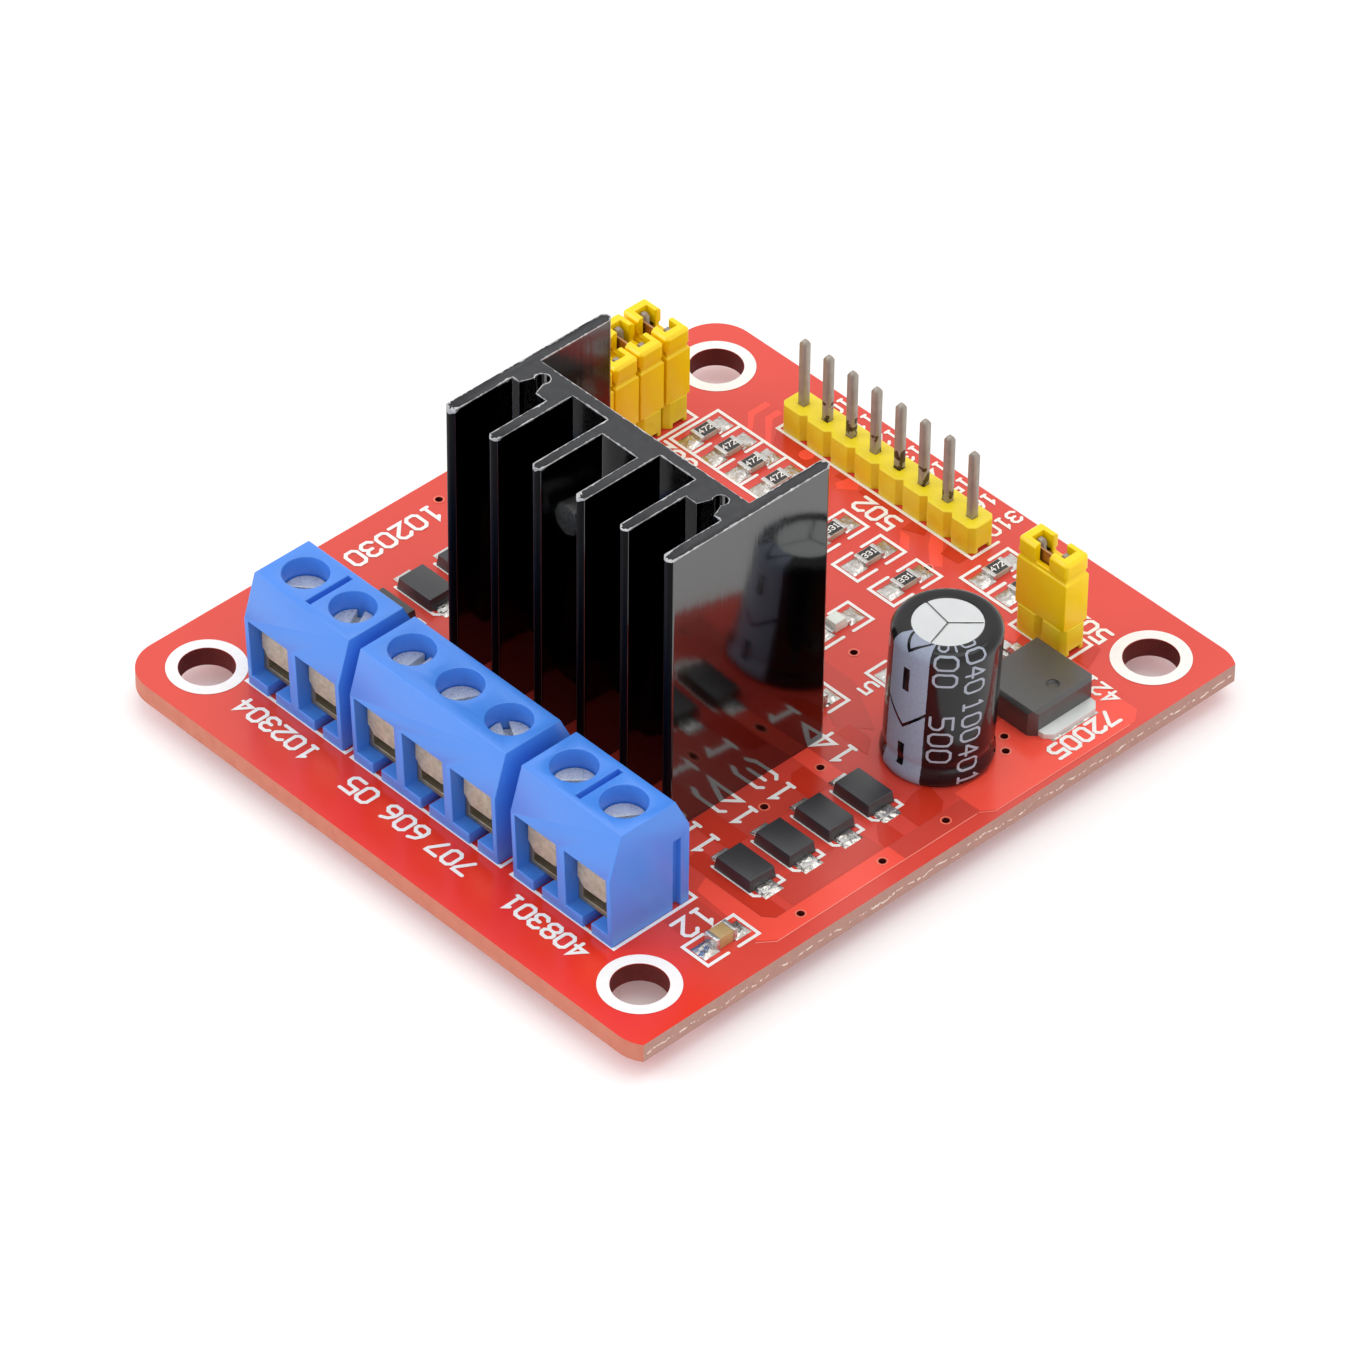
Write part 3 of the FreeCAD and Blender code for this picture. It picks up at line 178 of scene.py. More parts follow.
# %% Node helpers
def node_group(name, inputs, outputs):
    """An empty group with named inputs, each with its first value, and named outputs."""
    group = bpy.data.node_groups.new(name, "ShaderNodeTree")
    for label, kind, start in inputs:
        socket = group.interface.new_socket(label, in_out="INPUT", socket_type=kind)
        socket.default_value = start
    for label, kind in outputs:
        group.interface.new_socket(label, in_out="OUTPUT", socket_type=kind)
    return group, group.nodes.new("NodeGroupInput"), group.nodes.new("NodeGroupOutput")


def math_node(tree, operation, a, b=0.0):
    """A Math node; a and b are sockets or numbers."""
    node = tree.nodes.new("ShaderNodeMath")
    node.operation = operation
    for socket, given in zip(node.inputs, (a, b)):
        if isinstance(given, (int, float)):
            socket.default_value = given
        else:
            tree.links.new(given, socket)
    return node.outputs[0]


def noise_node(tree, vector, scale, detail=4.0):
    """Noise with scale in waves a metre; vector and scale may be sockets."""
    node = tree.nodes.new("ShaderNodeTexNoise")
    node.inputs["Detail"].default_value = detail
    if isinstance(scale, (int, float)):
        node.inputs["Scale"].default_value = scale
    else:
        tree.links.new(scale, node.inputs["Scale"])
    tree.links.new(vector, node.inputs["Vector"])
    return node.outputs["Fac"]


print("helpers: node_group math_node noise_node")

# %% [markdown]
# ## Choosing by place
# Two colours can be mixed by a number, and a number can come from the place on the piece.
# These helpers read the place and turn it into a band that is 1 inside and 0 outside.

# %% Place helpers
def mix_node(tree, factor, a, b):
    """Colour = a where factor is 0, b where it is 1; a and b are sockets or colours."""
    node = tree.nodes.new("ShaderNodeMix")
    node.data_type = "RGBA"
    tree.links.new(factor, node.inputs["Factor"])
    for name, given in (("A", a), ("B", b)):
        if isinstance(given, tuple):
            node.inputs[name].default_value = given
        else:
            tree.links.new(given, node.inputs[name])
    return node.outputs["Result"]


def near(tree, value, middle, half):
    """1 where value is within half of middle, else 0."""
    gap = math_node(tree, "ABSOLUTE", math_node(tree, "SUBTRACT", value, middle))
    return math_node(tree, "LESS_THAN", gap, half)


def object_place(tree):
    """The place on the piece itself, so that a pattern moves with its piece."""
    return tree.nodes.new("ShaderNodeTexCoord").outputs["Object"]


def axes(tree, vector):
    """The X, Y and Z parts of a vector socket."""
    parts = tree.nodes.new("ShaderNodeSeparateXYZ")
    tree.links.new(vector, parts.inputs[0])
    return parts.outputs


print("helpers: mix_node near object_place axes")

# %% [markdown]
# ## Fine grain
# No real surface is equally shiny all over. The grain is a fine noise that moves the
# roughness up and down and also gives a height for a small bump.

# %% Grain group
def make_grain():
    """Roughness = base + spread times (noise - half). Height = noise."""
    group, start, end = node_group(
        "fine_grain",
        [
            ("Scale", "NodeSocketFloat", 4000.0),
            ("Roughness", "NodeSocketFloat", 0.4),
            ("Spread", "NodeSocketFloat", 0.2),
        ],
        [("Roughness", "NodeSocketFloat"), ("Height", "NodeSocketFloat")],
    )
    place = object_place(group)
    fine = noise_node(group, place, start.outputs["Scale"])
    centred = math_node(group, "SUBTRACT", fine, 0.5)
    spread = math_node(group, "MULTIPLY", centred, start.outputs["Spread"])
    group.links.new(math_node(group, "ADD", spread, start.outputs["Roughness"]), end.inputs["Roughness"])
    group.links.new(fine, end.inputs["Height"])
    return group


GRAIN = make_grain()
print("group:", GRAIN.name)

# %% [markdown]
# ## Slow tint
# Plastic, metal and lacquer change colour a little from place to place. The tint mixes
# two close colours by a slow noise.

# %% Tint group
def make_tint():
    """Colour = mix of two colours by a slow noise."""
    group, start, end = node_group(
        "slow_tint",
        [
            ("Scale", "NodeSocketFloat", 300.0),
            ("Colour", "NodeSocketColor", (1, 1, 1, 1)),
            ("Other", "NodeSocketColor", (1, 1, 1, 1)),
        ],
        [("Colour", "NodeSocketColor")],
    )
    place = object_place(group)
    slow = noise_node(group, place, start.outputs["Scale"], 3.0)
    mixed = mix_node(group, slow, start.outputs["Colour"], start.outputs["Other"])
    group.links.new(mixed, end.inputs["Colour"])
    return group


TINT = make_tint()
print("group:", TINT.name)

# %% [markdown]
# ## Drawn marks
# A bar that was pulled or pushed through a die has long fine marks along it. Squeezing
# the place along Z before the noise is read stretches the noise the same way.

# %% Drawn group
def make_drawn():
    """Long marks along Z: noise on a place whose Z is squeezed forty times."""
    group, start, end = node_group(
        "drawn_marks",
        [("Scale", "NodeSocketFloat", 1500.0), ("Squeeze", "NodeSocketFloat", 0.025)],
        [("Height", "NodeSocketFloat")],
    )
    parts = axes(group, object_place(group))
    joined = group.nodes.new("ShaderNodeCombineXYZ")
    group.links.new(parts["X"], joined.inputs["X"])
    group.links.new(parts["Y"], joined.inputs["Y"])
    squeezed = math_node(group, "MULTIPLY", parts["Z"], start.outputs["Squeeze"])
    group.links.new(squeezed, joined.inputs["Z"])
    group.links.new(noise_node(group, joined.outputs[0], start.outputs["Scale"]), end.inputs["Height"])
    return group


DRAWN = make_drawn()
print("group:", DRAWN.name)

# %% [markdown]
# ## Parts of a material
# Every material starts as a Principled shader. The shared groups are placed in it with
# values of their own, and a bump node turns a height into small tilts of the surface.

# %% Material helpers
def new_material(name):
    """A material with its node tree and its Principled shader."""
    material = bpy.data.materials.new(name)
    material.use_nodes = True
    return material, material.node_tree, material.node_tree.nodes["Principled BSDF"]


def placed(tree, group, **values):
    """A shared group placed in a material, with the values of its inputs by name."""
    node = tree.nodes.new("ShaderNodeGroup")
    node.node_tree = group
    for label, value in values.items():
        node.inputs[label].default_value = value
    return node


def tinted(tree, scale, base, other):
    """The slow tint between two colours, as a colour socket."""
    return placed(tree, TINT, Scale=scale, Colour=base, Other=other).outputs["Colour"]


def add_relief(tree, height, strength, depth):
    """A bump on the shader's normal. height is a socket, depth its reach in millimetres."""
    relief = tree.nodes.new("ShaderNodeBump")
    relief.inputs["Strength"].default_value = strength
    relief.inputs["Distance"].default_value = depth * MM
    tree.links.new(height, relief.inputs["Height"])
    tree.links.new(relief.outputs["Normal"], tree.nodes["Principled BSDF"].inputs["Normal"])


def bent(tree, height, slopes, reach):
    """The height plus a slope along Y and one along Z where X is past the third number, in
    millimetres, so that a flat plate mirrors as if it were slightly bent. reach is what
    one unit of height stands for, in metres."""
    parts = axes(tree, object_place(tree))
    right_side = math_node(tree, "GREATER_THAN", parts["X"], slopes[2] * MM)
    for axis, slope in zip("YZ", slopes):
        ramp = math_node(tree, "MULTIPLY", parts[axis], slope / reach)
        height = math_node(tree, "ADD", height, math_node(tree, "MULTIPLY", ramp, right_side))
    return height


print("helpers: new_material placed tinted add_relief bent")

# %% [markdown]
# ## One recipe for most materials
# A finish keeps its plain values on the shader's own sockets. The tint group feeds the
# base colour, the grain group feeds the roughness, and either the grain or the drawn
# marks feed a small bump.

# %% The recipe
def finish(
    name, base, other=None, rough=0.4, spread=0.2, grain=4000.0, bump=0.1, depth=0.02, tint=300.0,
    marks=None, bend=None, **plain,
):
    """A material of two colours that wander into each other, or of one colour and a darker
    shade of it. grain, tint and marks are the scales of the three patterns, bump is the
    strength of the relief and depth its height in millimetres. bend holds the slopes of
    bent(). plain holds values of the shader's own sockets, with _ for each space."""
    material, tree, shader = new_material(name)
    other = other or tuple(0.85 * part for part in base[:3]) + (1.0,)
    tree.links.new(tinted(tree, tint, base, other), shader.inputs["Base Color"])
    grained = placed(tree, GRAIN, Scale=grain, Roughness=rough, Spread=spread)
    tree.links.new(grained.outputs["Roughness"], shader.inputs["Roughness"])
    height = placed(tree, DRAWN, Scale=marks).outputs["Height"] if marks else grained.outputs["Height"]
    if bend:
        height = bent(tree, height, bend, bump * depth * MM)
    add_relief(tree, height, bump, depth)
    for socket, number in plain.items():
        shader.inputs[socket.replace("_", " ")].default_value = number
    return material


print("the recipe makes a material from a name and two colours")

# %% [markdown]
# ## Plastic, resin and ceramic
# Moulded plastic is bright and fairly smooth. The black resin of a chip has little colour
# and mirrors the sky on its level faces, which a higher index of refraction gives.
# Ceramic is matt and pale.

# %% Finishes of the moulded pieces
moulded_blue = finish(
    "moulded_blue", colour(76, 138, 232), colour(70, 131, 226), rough=0.32, spread=0.1, grain=2600,
    bump=0.12, Coat_Weight=0.15, Coat_Roughness=0.2,
)
cap_yellow = finish(
    "cap_yellow", colour(255, 218, 2), colour(252, 208, 0), rough=0.3, spread=0.12, bump=0.1, tint=500,
)
strip_yellow = finish(
    "strip_yellow", colour(246, 222, 40), colour(234, 204, 34), rough=0.36, spread=0.15, bump=0.2, tint=900,
)
resin_black = finish(
    "resin_black", colour(54, 54, 57), colour(46, 46, 49), rough=0.4, spread=0.2, grain=9000, bump=0.35,
    tint=700, IOR=1.65,
)
resin_grey = finish(
    "resin_grey", colour(62, 61, 60), colour(52, 51, 50), rough=0.42, spread=0.2, grain=7000, bump=0.5,
    tint=500, IOR=1.85,
)
seal_rubber = finish("seal_rubber", colour(38, 38, 38), rough=0.7, grain=3000, bump=0.4)
resistor_glaze = finish(
    "resistor_glaze", colour(46, 46, 48), colour(60, 58, 56), rough=0.28, spread=0.15, grain=3000, bump=0.3,
)
ceramic_brick = finish(
    "ceramic_brick", colour(206, 196, 182), colour(176, 162, 144), rough=0.5, grain=3000, bump=0.3,
    tint=1200,
)
fired_tan = finish(
    "fired_tan", colour(196, 164, 112), colour(170, 138, 90), rough=0.35, spread=0.2, grain=4000, bump=0.3,
    tint=900,
)
lamp_resin = finish(
    "lamp_resin", colour(240, 242, 234), colour(216, 224, 212), rough=0.2, spread=0.1, bump=0.1, tint=900,
    Coat_Weight=0.6,
)
print(len(bpy.data.materials), "materials so far")

# %% [markdown]
# ## Metal
# Tin and solder are bright and uneven, so their relief is deep and their roughness
# spreads widely. Clamp plates and pins are duller. Where a metal should keep some of its
# own colour in shade, it is less than fully metallic.

# %% Finishes of the metal pieces
bare_metal = finish(
    "bare_metal", colour(250, 250, 250), colour(76, 78, 82), rough=0.4, spread=0.4, grain=5000, bump=0.6,
    tint=700, Metallic=0.7,
)
screw_steel = finish(
    "screw_steel", colour(232, 234, 232), colour(186, 188, 186), rough=0.3, spread=0.35, grain=3500,
    bump=0.7, depth=0.05, tint=1500, Metallic=0.35,
)
clamp_plate = finish(
    "clamp_plate", colour(170, 160, 134), colour(130, 118, 94), rough=0.4, spread=0.3, grain=3000, bump=0.7,
    depth=0.05, tint=1500, Metallic=0.6,
)
guard_plate = finish(
    "guard_plate", colour(208, 206, 190), colour(138, 134, 112), rough=0.42, spread=0.3, grain=3600,
    bump=0.9, depth=0.06, tint=2600, Metallic=0.2,
)
pin_wire = finish(
    "pin_wire", colour(176, 166, 154), colour(136, 126, 116), rough=0.42, spread=0.25, grain=2500, bump=0.4,
    depth=0.03, tint=900, marks=2600, Metallic=0.5,
)
header_wire = finish(
    "header_wire", colour(182, 174, 162), colour(140, 132, 122), rough=0.42, spread=0.25, grain=2500,
    bump=0.4, depth=0.03, tint=900, marks=2600, Metallic=0.4,
)
contact_bronze = finish(
    "contact_bronze", colour(206, 160, 116), colour(158, 112, 76), rough=0.3, spread=0.2, Metallic=0.9,
)
tinned_lead = finish(
    "tinned_lead", colour(232, 232, 230), colour(182, 180, 176), rough=0.28, spread=0.3, grain=2200,
    bump=0.8, depth=0.06, tint=1500, Metallic=0.85,
)
tab_tin = finish(
    "tab_tin", colour(226, 229, 226), colour(208, 211, 208), rough=0.5, spread=0.2, grain=2600, bump=0.4,
    depth=0.03, tint=700, Metallic=0.3,
)
bright_solder = finish(
    "bright_solder", colour(236, 234, 230), colour(150, 140, 130), rough=0.2, spread=0.25, grain=1500,
    bump=1.0, depth=0.16, tint=1500, Metallic=0.9,
)
can_metal = finish(
    "can_metal", colour(224, 226, 226), colour(210, 212, 213), rough=0.42, spread=0.12, grain=3000,
    bump=0.15, tint=500, Metallic=0.8,
)
print(len(bpy.data.materials), "materials so far")

# %% [markdown]
# ## Dried flux on the header's pins
# Flux ran down the pins when they were soldered and dried in brown patches just above
# the strip. The patches are where a coarse noise is above its middle, inside a band of
# height and a stretch along the row that leaves the first pin clean.

# %% Flux stain
STAIN_LOW, STAIN_HIGH = 5.8, 7.6
STAIN_MIDDLE_X, STAIN_HALF_X = -4.2, 8.0


def stain(material, shade):
    """Mixes the shade into the material's colour where band, stretch and patches meet."""
    tree = material.node_tree
    base = tree.nodes["Principled BSDF"].inputs["Base Color"]
    clean = base.links[0].from_socket
    place = object_place(tree)
    parts = axes(tree, place)
    middle, half = (STAIN_LOW + STAIN_HIGH) / 2, (STAIN_HIGH - STAIN_LOW) / 2
    band = near(tree, parts["Z"], middle * MM, half * MM)
    stretch = near(tree, parts["X"], STAIN_MIDDLE_X * MM, STAIN_HALF_X * MM)
    patches = math_node(tree, "GREATER_THAN", noise_node(tree, place, 1100.0), 0.53)
    mask = math_node(tree, "MULTIPLY", math_node(tree, "MULTIPLY", band, stretch), patches)
    tree.links.new(mix_node(tree, mask, clean, shade), base)


stain(header_wire, colour(70, 56, 40))
print("stained:", header_wire.name, "from", STAIN_LOW, "to", STAIN_HIGH, "mm")

# %% [markdown]
# ## Black coat of the heatsink
# The extruded sides carry a smooth black coat that mirrors whatever stands beside it, so
# it has almost no colour of its own and a high index of refraction. Its right plate is
# slightly bent, and its mirror image shows it. The fins' ends are duller, and the sawn
# top is the same black but matt and scratched.

# %% Heatsink finishes
anodised_black = finish(
    "anodised_black", colour(5, 5, 7), colour(2, 2, 3), rough=0.09, spread=0.06, bump=0.4, depth=0.01,
    tint=500, marks=1500, bend=(-0.05, 0.035, 10.8), IOR=2.05,
)
tip_black = finish(
    "tip_black", colour(10, 10, 13), colour(3, 3, 5), rough=0.36, spread=0.2, grain=2500, bump=0.4,
    depth=0.02, tint=900, marks=1500, IOR=1.2,
)
sawn_black = finish(
    "sawn_black", colour(34, 34, 37), colour(58, 59, 62), rough=0.46, spread=0.3, grain=3000, bump=0.5,
    depth=0.03, tint=1300,
)
print("heatsink:", anodised_black.name, tip_black.name, sawn_black.name)

# %% [markdown]
# ## The board's red lacquer
# The lacquer is a thin glossy coat over copper and laminate. Over laminate it looks
# darker. The sawn edge shows the tan laminate itself, and the right edge was snapped
# off along a scored line, so it is rough and pale. One material covers all of it: the
# face's own direction tells the edge from the top, and the place tells which edge.

# %% Board edge
TORN_LINE, TORN_HALF, TORN_WANDER = 2.45, 0.07, 1.0
HOLE_LIMITS = (27.3, 29.8, 52.8)


def clamped(tree, value):
    """The value held between 0 and 1."""
    return math_node(tree, "MINIMUM", math_node(tree, "MAXIMUM", value, 0.0), 1.0)


def inside(tree, parts, limits):
    """1 where X, Y and their sum lie within the three limits, in millimetres from the
    middle. The sum leaves the rounded corners out."""
    sizes = [math_node(tree, "ABSOLUTE", parts[axis]) for axis in "XY"]
    sizes.append(math_node(tree, "ADD", *sizes))
    tests = [math_node(tree, "LESS_THAN", size, limit * MM) for size, limit in zip(sizes, limits)]
    return math_node(tree, "MULTIPLY", math_node(tree, "MULTIPLY", tests[0], tests[1]), tests[2])


def torn_edge(tree, place, parts):
    """The snapped edge: a pale broken line of fibres whose height wanders by a noise."""
    torn = tinted(tree, 1500, colour(190, 140, 126), colour(166, 128, 118))
    noise = math_node(tree, "SUBTRACT", noise_node(tree, place, 700.0), 0.5)
    wander = math_node(tree, "MULTIPLY", noise, TORN_WANDER * MM)
    line = near(tree, math_node(tree, "ADD", parts["Z"], wander), TORN_LINE * MM, TORN_HALF * MM)
    broken = math_node(tree, "GREATER_THAN", noise_node(tree, place, 2600.0), 0.5)
    fibres = math_node(tree, "MULTIPLY", line, broken)
    return mix_node(tree, fibres, torn, colour(236, 212, 200))


def edge_colour(tree, place, parts, snapped):
    """Laminate, the torn edge where the board was snapped, and a painted shade on the walls of the holes.
    """
    laminate = tinted(tree, 900, colour(190, 104, 84), colour(208, 130, 108))
    # The walls of the holes are painted dark red: a painted shade inside them.
    hole_wall_shade = tinted(tree, 900, colour(112, 24, 18), colour(84, 14, 10))
    edge = mix_node(tree, snapped, laminate, torn_edge(tree, place, parts))
    return mix_node(tree, inside(tree, parts, HOLE_LIMITS), edge, hole_wall_shade)


print("torn line at", TORN_LINE, "mm, holes inside", HOLE_LIMITS)

# %% [markdown]
# ## The whole board
# A painted shade makes the lacquer a deeper red along the front strip, where it mirrors less light. Upright
# faces are the edge, and the face that points along X is the snapped one.

# %% Board material
def painted_shade_share(tree, parts):
    """Share of the painted shade: 0 to 1 while Y falls from -20 to -24 mm, times 0 to 1 while X rises from
    -14 to -4 mm."""
    forward = math_node(tree, "MULTIPLY", math_node(tree, "ADD", parts["Y"], 20 * MM), -0.25 / MM)
    rightward = math_node(tree, "MULTIPLY", math_node(tree, "ADD", parts["X"], 14 * MM), 0.1 / MM)
    return math_node(tree, "MULTIPLY", clamped(tree, forward), clamped(tree, rightward))


def board_material():
    """Lacquer on level faces, edge colours, more roughness and more relief on upright ones."""
    material, tree, shader = new_material("red_lacquer")
    geometry = tree.nodes.new("ShaderNodeNewGeometry")
    direction = axes(tree, geometry.outputs["True Normal"])
    place = object_place(tree)
    parts = axes(tree, place)
    is_edge = math_node(tree, "LESS_THAN", math_node(tree, "ABSOLUTE", direction["Z"]), 0.5)
    snapped = math_node(tree, "GREATER_THAN", direction["X"], 0.95)
    lacquer = tinted(tree, 90, colour(224, 76, 64), colour(214, 68, 56))
    # Painted shade: a deeper red where the lacquer mirrors less light.
    painted_shade_lacquer = tinted(tree, 90, colour(232, 58, 38), colour(224, 52, 34))
    lacquer = mix_node(tree, painted_shade_share(tree, parts), lacquer, painted_shade_lacquer)
    edge = edge_colour(tree, place, parts, snapped)
    tree.links.new(mix_node(tree, is_edge, lacquer, edge), shader.inputs["Base Color"])
    grained = placed(tree, GRAIN, Scale=500, Roughness=0.22, Spread=0.08)
    more = math_node(tree, "MULTIPLY", is_edge, 0.5)
    tree.links.new(math_node(tree, "ADD", grained.outputs["Roughness"], more), shader.inputs["Roughness"])
    share = math_node(tree, "ADD", 0.03, is_edge)
    height = math_node(tree, "MULTIPLY", noise_node(tree, place, 2400.0), share)
    add_relief(tree, height, 0.6, 0.1)
    return material


board_red = board_material()
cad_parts["circuit_board"].material_slots[0].material = board_red
print("board:", board_red.name)

# %% [markdown]
# ## Thin layers on the board and the film
# Copper under the lacquer changes only its red, so these finishes share one gloss. The
# white ink is matt.

# %% Finishes of the thin layers
LACQUER = {"rough": 0.22, "spread": 0.08, "grain": 500, "bump": 0.1, "depth": 0.01, "tint": 300}
red_bright = finish("red_bright", colour(250, 86, 70), colour(246, 78, 60), **LACQUER)
red_middle = finish("red_middle", colour(208, 72, 60), colour(200, 66, 54), **LACQUER)
red_dark = finish("red_dark", colour(208, 58, 38), colour(200, 50, 32), **LACQUER)
# A painted highlight for the copper's edge.
copper_edge_highlight = finish("copper_edge_highlight", colour(255, 150, 135), colour(246, 120, 104), **LACQUER)
via_rim = finish("via_rim", colour(250, 132, 110), colour(232, 96, 76), **LACQUER)
groove_shade = finish("groove_shade", colour(86, 82, 80), colour(60, 58, 56), rough=0.5, tint=2500)
film_print = finish("film_print", colour(170, 176, 190), colour(140, 146, 158), rough=0.4, tint=3000)
silk_white = finish(
    "silk_white", colour(250, 248, 244), colour(236, 230, 226), rough=0.5, spread=0.2, grain=5000, bump=0.3,
    tint=2500,
)
print("layers:", red_bright.name, red_middle.name, red_dark.name, silk_white.name)

# %% [markdown]
# ## Rounded edges
# A moulded or cut piece has no perfectly sharp edge, and the thin highlight along it is
# what makes it look real. Each solid is copied, its loose triangles are joined, flat
# neighbours are merged, and a Bevel modifier rounds what is left. The copy then stands
# for the solid.

# %% Rounded copies
SHARP = math.radians(35)


def rounded(node, material, slot, width, body="module", segments=2):
    """The solid with all edges sharper than 35 degrees rounded by width millimetres."""
    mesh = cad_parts[node].data.copy()
    work = bmesh.new()
    work.from_mesh(mesh)
    bmesh.ops.remove_doubles(work, verts=work.verts, dist=1e-6)
    bmesh.ops.dissolve_limit(work, angle_limit=math.radians(1.0), verts=work.verts, edges=work.edges)
    work.to_mesh(mesh)
    work.free()
    mesh.materials.clear()
    mesh.materials.append(material)
    mesh.shade_smooth()
    copy = bpy.data.objects.new(node + "_finished", mesh)
    scene.collection.objects.link(copy)
    bevel = copy.modifiers.new("rounding", "BEVEL")
    bevel.width = width * MM
    bevel.segments = segments
    bevel.limit_method = "ANGLE"
    bevel.angle_limit = SHARP
    bevel.harden_normals = True
    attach(copy, body)
    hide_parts(node)
    return copy


print("rounded() copies a solid and bevels its sharp edges")

# %% [markdown]
# ## Which solid gets which finish
# Each row names a solid, its finish, a slot name and the width of its rounding. The moving pieces follow
# with the bodies that carry them, and the last three solids keep their own mesh and only change their
# finish.

# %% Table of rounded pieces
ROUNDED = [
    ("left_terminal_housing", moulded_blue, "terminal_blue", 0.12),
    ("middle_terminal_housing", moulded_blue, "terminal_blue", 0.12),
    ("right_terminal_housing", moulded_blue, "terminal_blue", 0.12),
    ("left_terminal_cages", clamp_plate, "clamp_metal", 0.1),
    ("middle_terminal_cages", clamp_plate, "clamp_metal", 0.1),
    ("right_terminal_cages", clamp_plate, "clamp_metal", 0.1),
    ("heatsink", anodised_black, "heatsink_black", 0.06),
    ("driver_chip_body", resin_black, "chip_resin", 0.12),
    ("driver_chip_tab", tinned_lead, "tinned_metal", 0.06),
    ("driver_chip_leads", tinned_lead, "tinned_metal", 0.05),
    ("chip_screw", screw_steel, "screw_steel", 0.1),
    ("header_base", strip_yellow, "strip_yellow", 0.08),
    ("jumper_bases", strip_yellow, "strip_yellow", 0.08),
    ("header_pins", header_wire, "pin_metal", 0.06),
    ("jumper_pins", pin_wire, "pin_metal", 0.06),
    ("regulator_body", resin_grey, "chip_resin", 0.07),
    ("regulator_tab", tab_tin, "tinned_metal", 0.05),
    ("regulator_leads", tinned_lead, "tinned_metal", 0.05),
    ("diode_bodies", resin_black, "chip_resin", 0.06),
    ("diode_leads", tinned_lead, "tinned_metal", 0.03),
    ("resistor_bodies", ceramic_brick, "resistor_film", 0.03),
    ("resistor_end_caps", tinned_lead, "tinned_metal", 0.04),
    ("ceramic_capacitor_bodies", fired_tan, "capacitor_ceramic", 0.04),
    ("ceramic_capacitor_end_caps", tinned_lead, "tinned_metal", 0.06),
    ("indicator_lamp", lamp_resin, "lamp_resin", 0.05),
    ("indicator_lamp_ends", tinned_lead, "tinned_metal", 0.03),
]
ROUND_COPIES = {row[0]: rounded(*row) for row in ROUNDED}
for i in range(1, 8):
    rounded("wire_guard_%d" % i, guard_plate, "guard_steel", 0.08, "guard_%d" % i)
    rounded("clamp_screw_%d" % i, screw_steel, "screw_steel", 0.08, "screw_%d" % i)
for i in range(1, 6):
    rounded("jumper_cap_%d" % i, cap_yellow, "cap_yellow", 0.1, "cap_%d" % i, 3)
    rounded("jumper_clip_%d" % i, contact_bronze, "contact_bronze", 0.02, "cap_%d" % i, 1)
for node, material in (
    ("capacitor_bung", seal_rubber),
    ("capacitor_leads", tinned_lead),
    ("solder_joints", bright_solder),
):
    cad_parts[node].material_slots[0].material = material

# %% [markdown]
# ## Sawn top and fin ends
# The extrusion was cut to length with a saw, so its level faces lost their gloss. The
# narrow faces that end the fins are duller than the sides too. One object may carry
# several materials, and each face says by a number which one it shows.

# %% Faces of the heatsink
SINK_X, SINK_Y, SINK_TOP = 1.3, -4.96, BOARD_TOP + 25.2
FIN_REACH, SIDE_REACH = 8.4, 7.1
FIN_FRONT, FIN_BACK = SINK_Y - FIN_REACH, SINK_Y + SIDE_REACH
LEVEL_COSINE, TIP_COSINE, TIP_REACH = 0.9, 0.7, 0.3


def paint_end_faces(thing, level_material, tip_material):
    """Material 1 goes to every face whose normal is nearly upright, material 2 to the
    faces that end the fins, and 0 stays on the rest."""
    mesh = thing.data
    mesh.materials.append(level_material)
    mesh.materials.append(tip_material)
    normals = np.zeros((len(mesh.polygons), 3), np.float32)
    centres = np.zeros((len(mesh.polygons), 3), np.float32)
    mesh.polygons.foreach_get("normal", normals.ravel())
    mesh.polygons.foreach_get("center", centres.ravel())
    level = np.abs(normals[:, 2]) > LEVEL_COSINE
    at_front = centres[:, 1] / MM < FIN_FRONT + TIP_REACH
    tip = (np.abs(normals[:, 1]) > TIP_COSINE) & at_front
    number = np.where(level, 1, np.where(tip, 2, 0)).astype(np.int32)
    mesh.polygons.foreach_set("material_index", number)
    return int(level.sum()), int(tip.sum())


print("sawn and tip faces:", paint_end_faces(ROUND_COPIES["heatsink"], sawn_black, tip_black))

# %% [markdown]
# ## Softer fin ends
# The die left the fins' upright end edges rounder than all others. A Bevel modifier can
# take its width from a weight on each edge, so one modifier does both.

# %% Rounding of the fins
FIN_ROUNDING, OTHER_SHARE = 0.16, 0.12


def round_fin_tips(thing, front, back):
    """Weight 1 on the upright sharp edges at the fins' ends, a small share on all other
    edges sharper than 35 degrees, and 0 on the rest."""
    mesh = thing.data
    work = bmesh.new()
    work.from_mesh(mesh)
    weight = work.edges.layers.float.new("bevel_weight_edge")
    for edge in work.edges:
        a, b = (v.co / MM for v in edge.verts)
        upright = abs(a.x - b.x) + abs(a.y - b.y) < 0.01
        at_end = min(abs(a.y - front), abs(a.y - back)) < 0.35
        sharp = len(edge.link_faces) == 2 and edge.calc_face_angle() > SHARP
        edge[weight] = float(sharp) if upright and at_end else OTHER_SHARE * sharp
    work.to_mesh(mesh)
    work.free()
    bevel = thing.modifiers["rounding"]
    bevel.limit_method = "WEIGHT"
    bevel.width = FIN_ROUNDING * MM
    bevel.segments = 3


round_fin_tips(ROUND_COPIES["heatsink"], FIN_FRONT, FIN_BACK)
print("fin ends at", round(FIN_FRONT, 2), "and", round(FIN_BACK, 2), "mm")

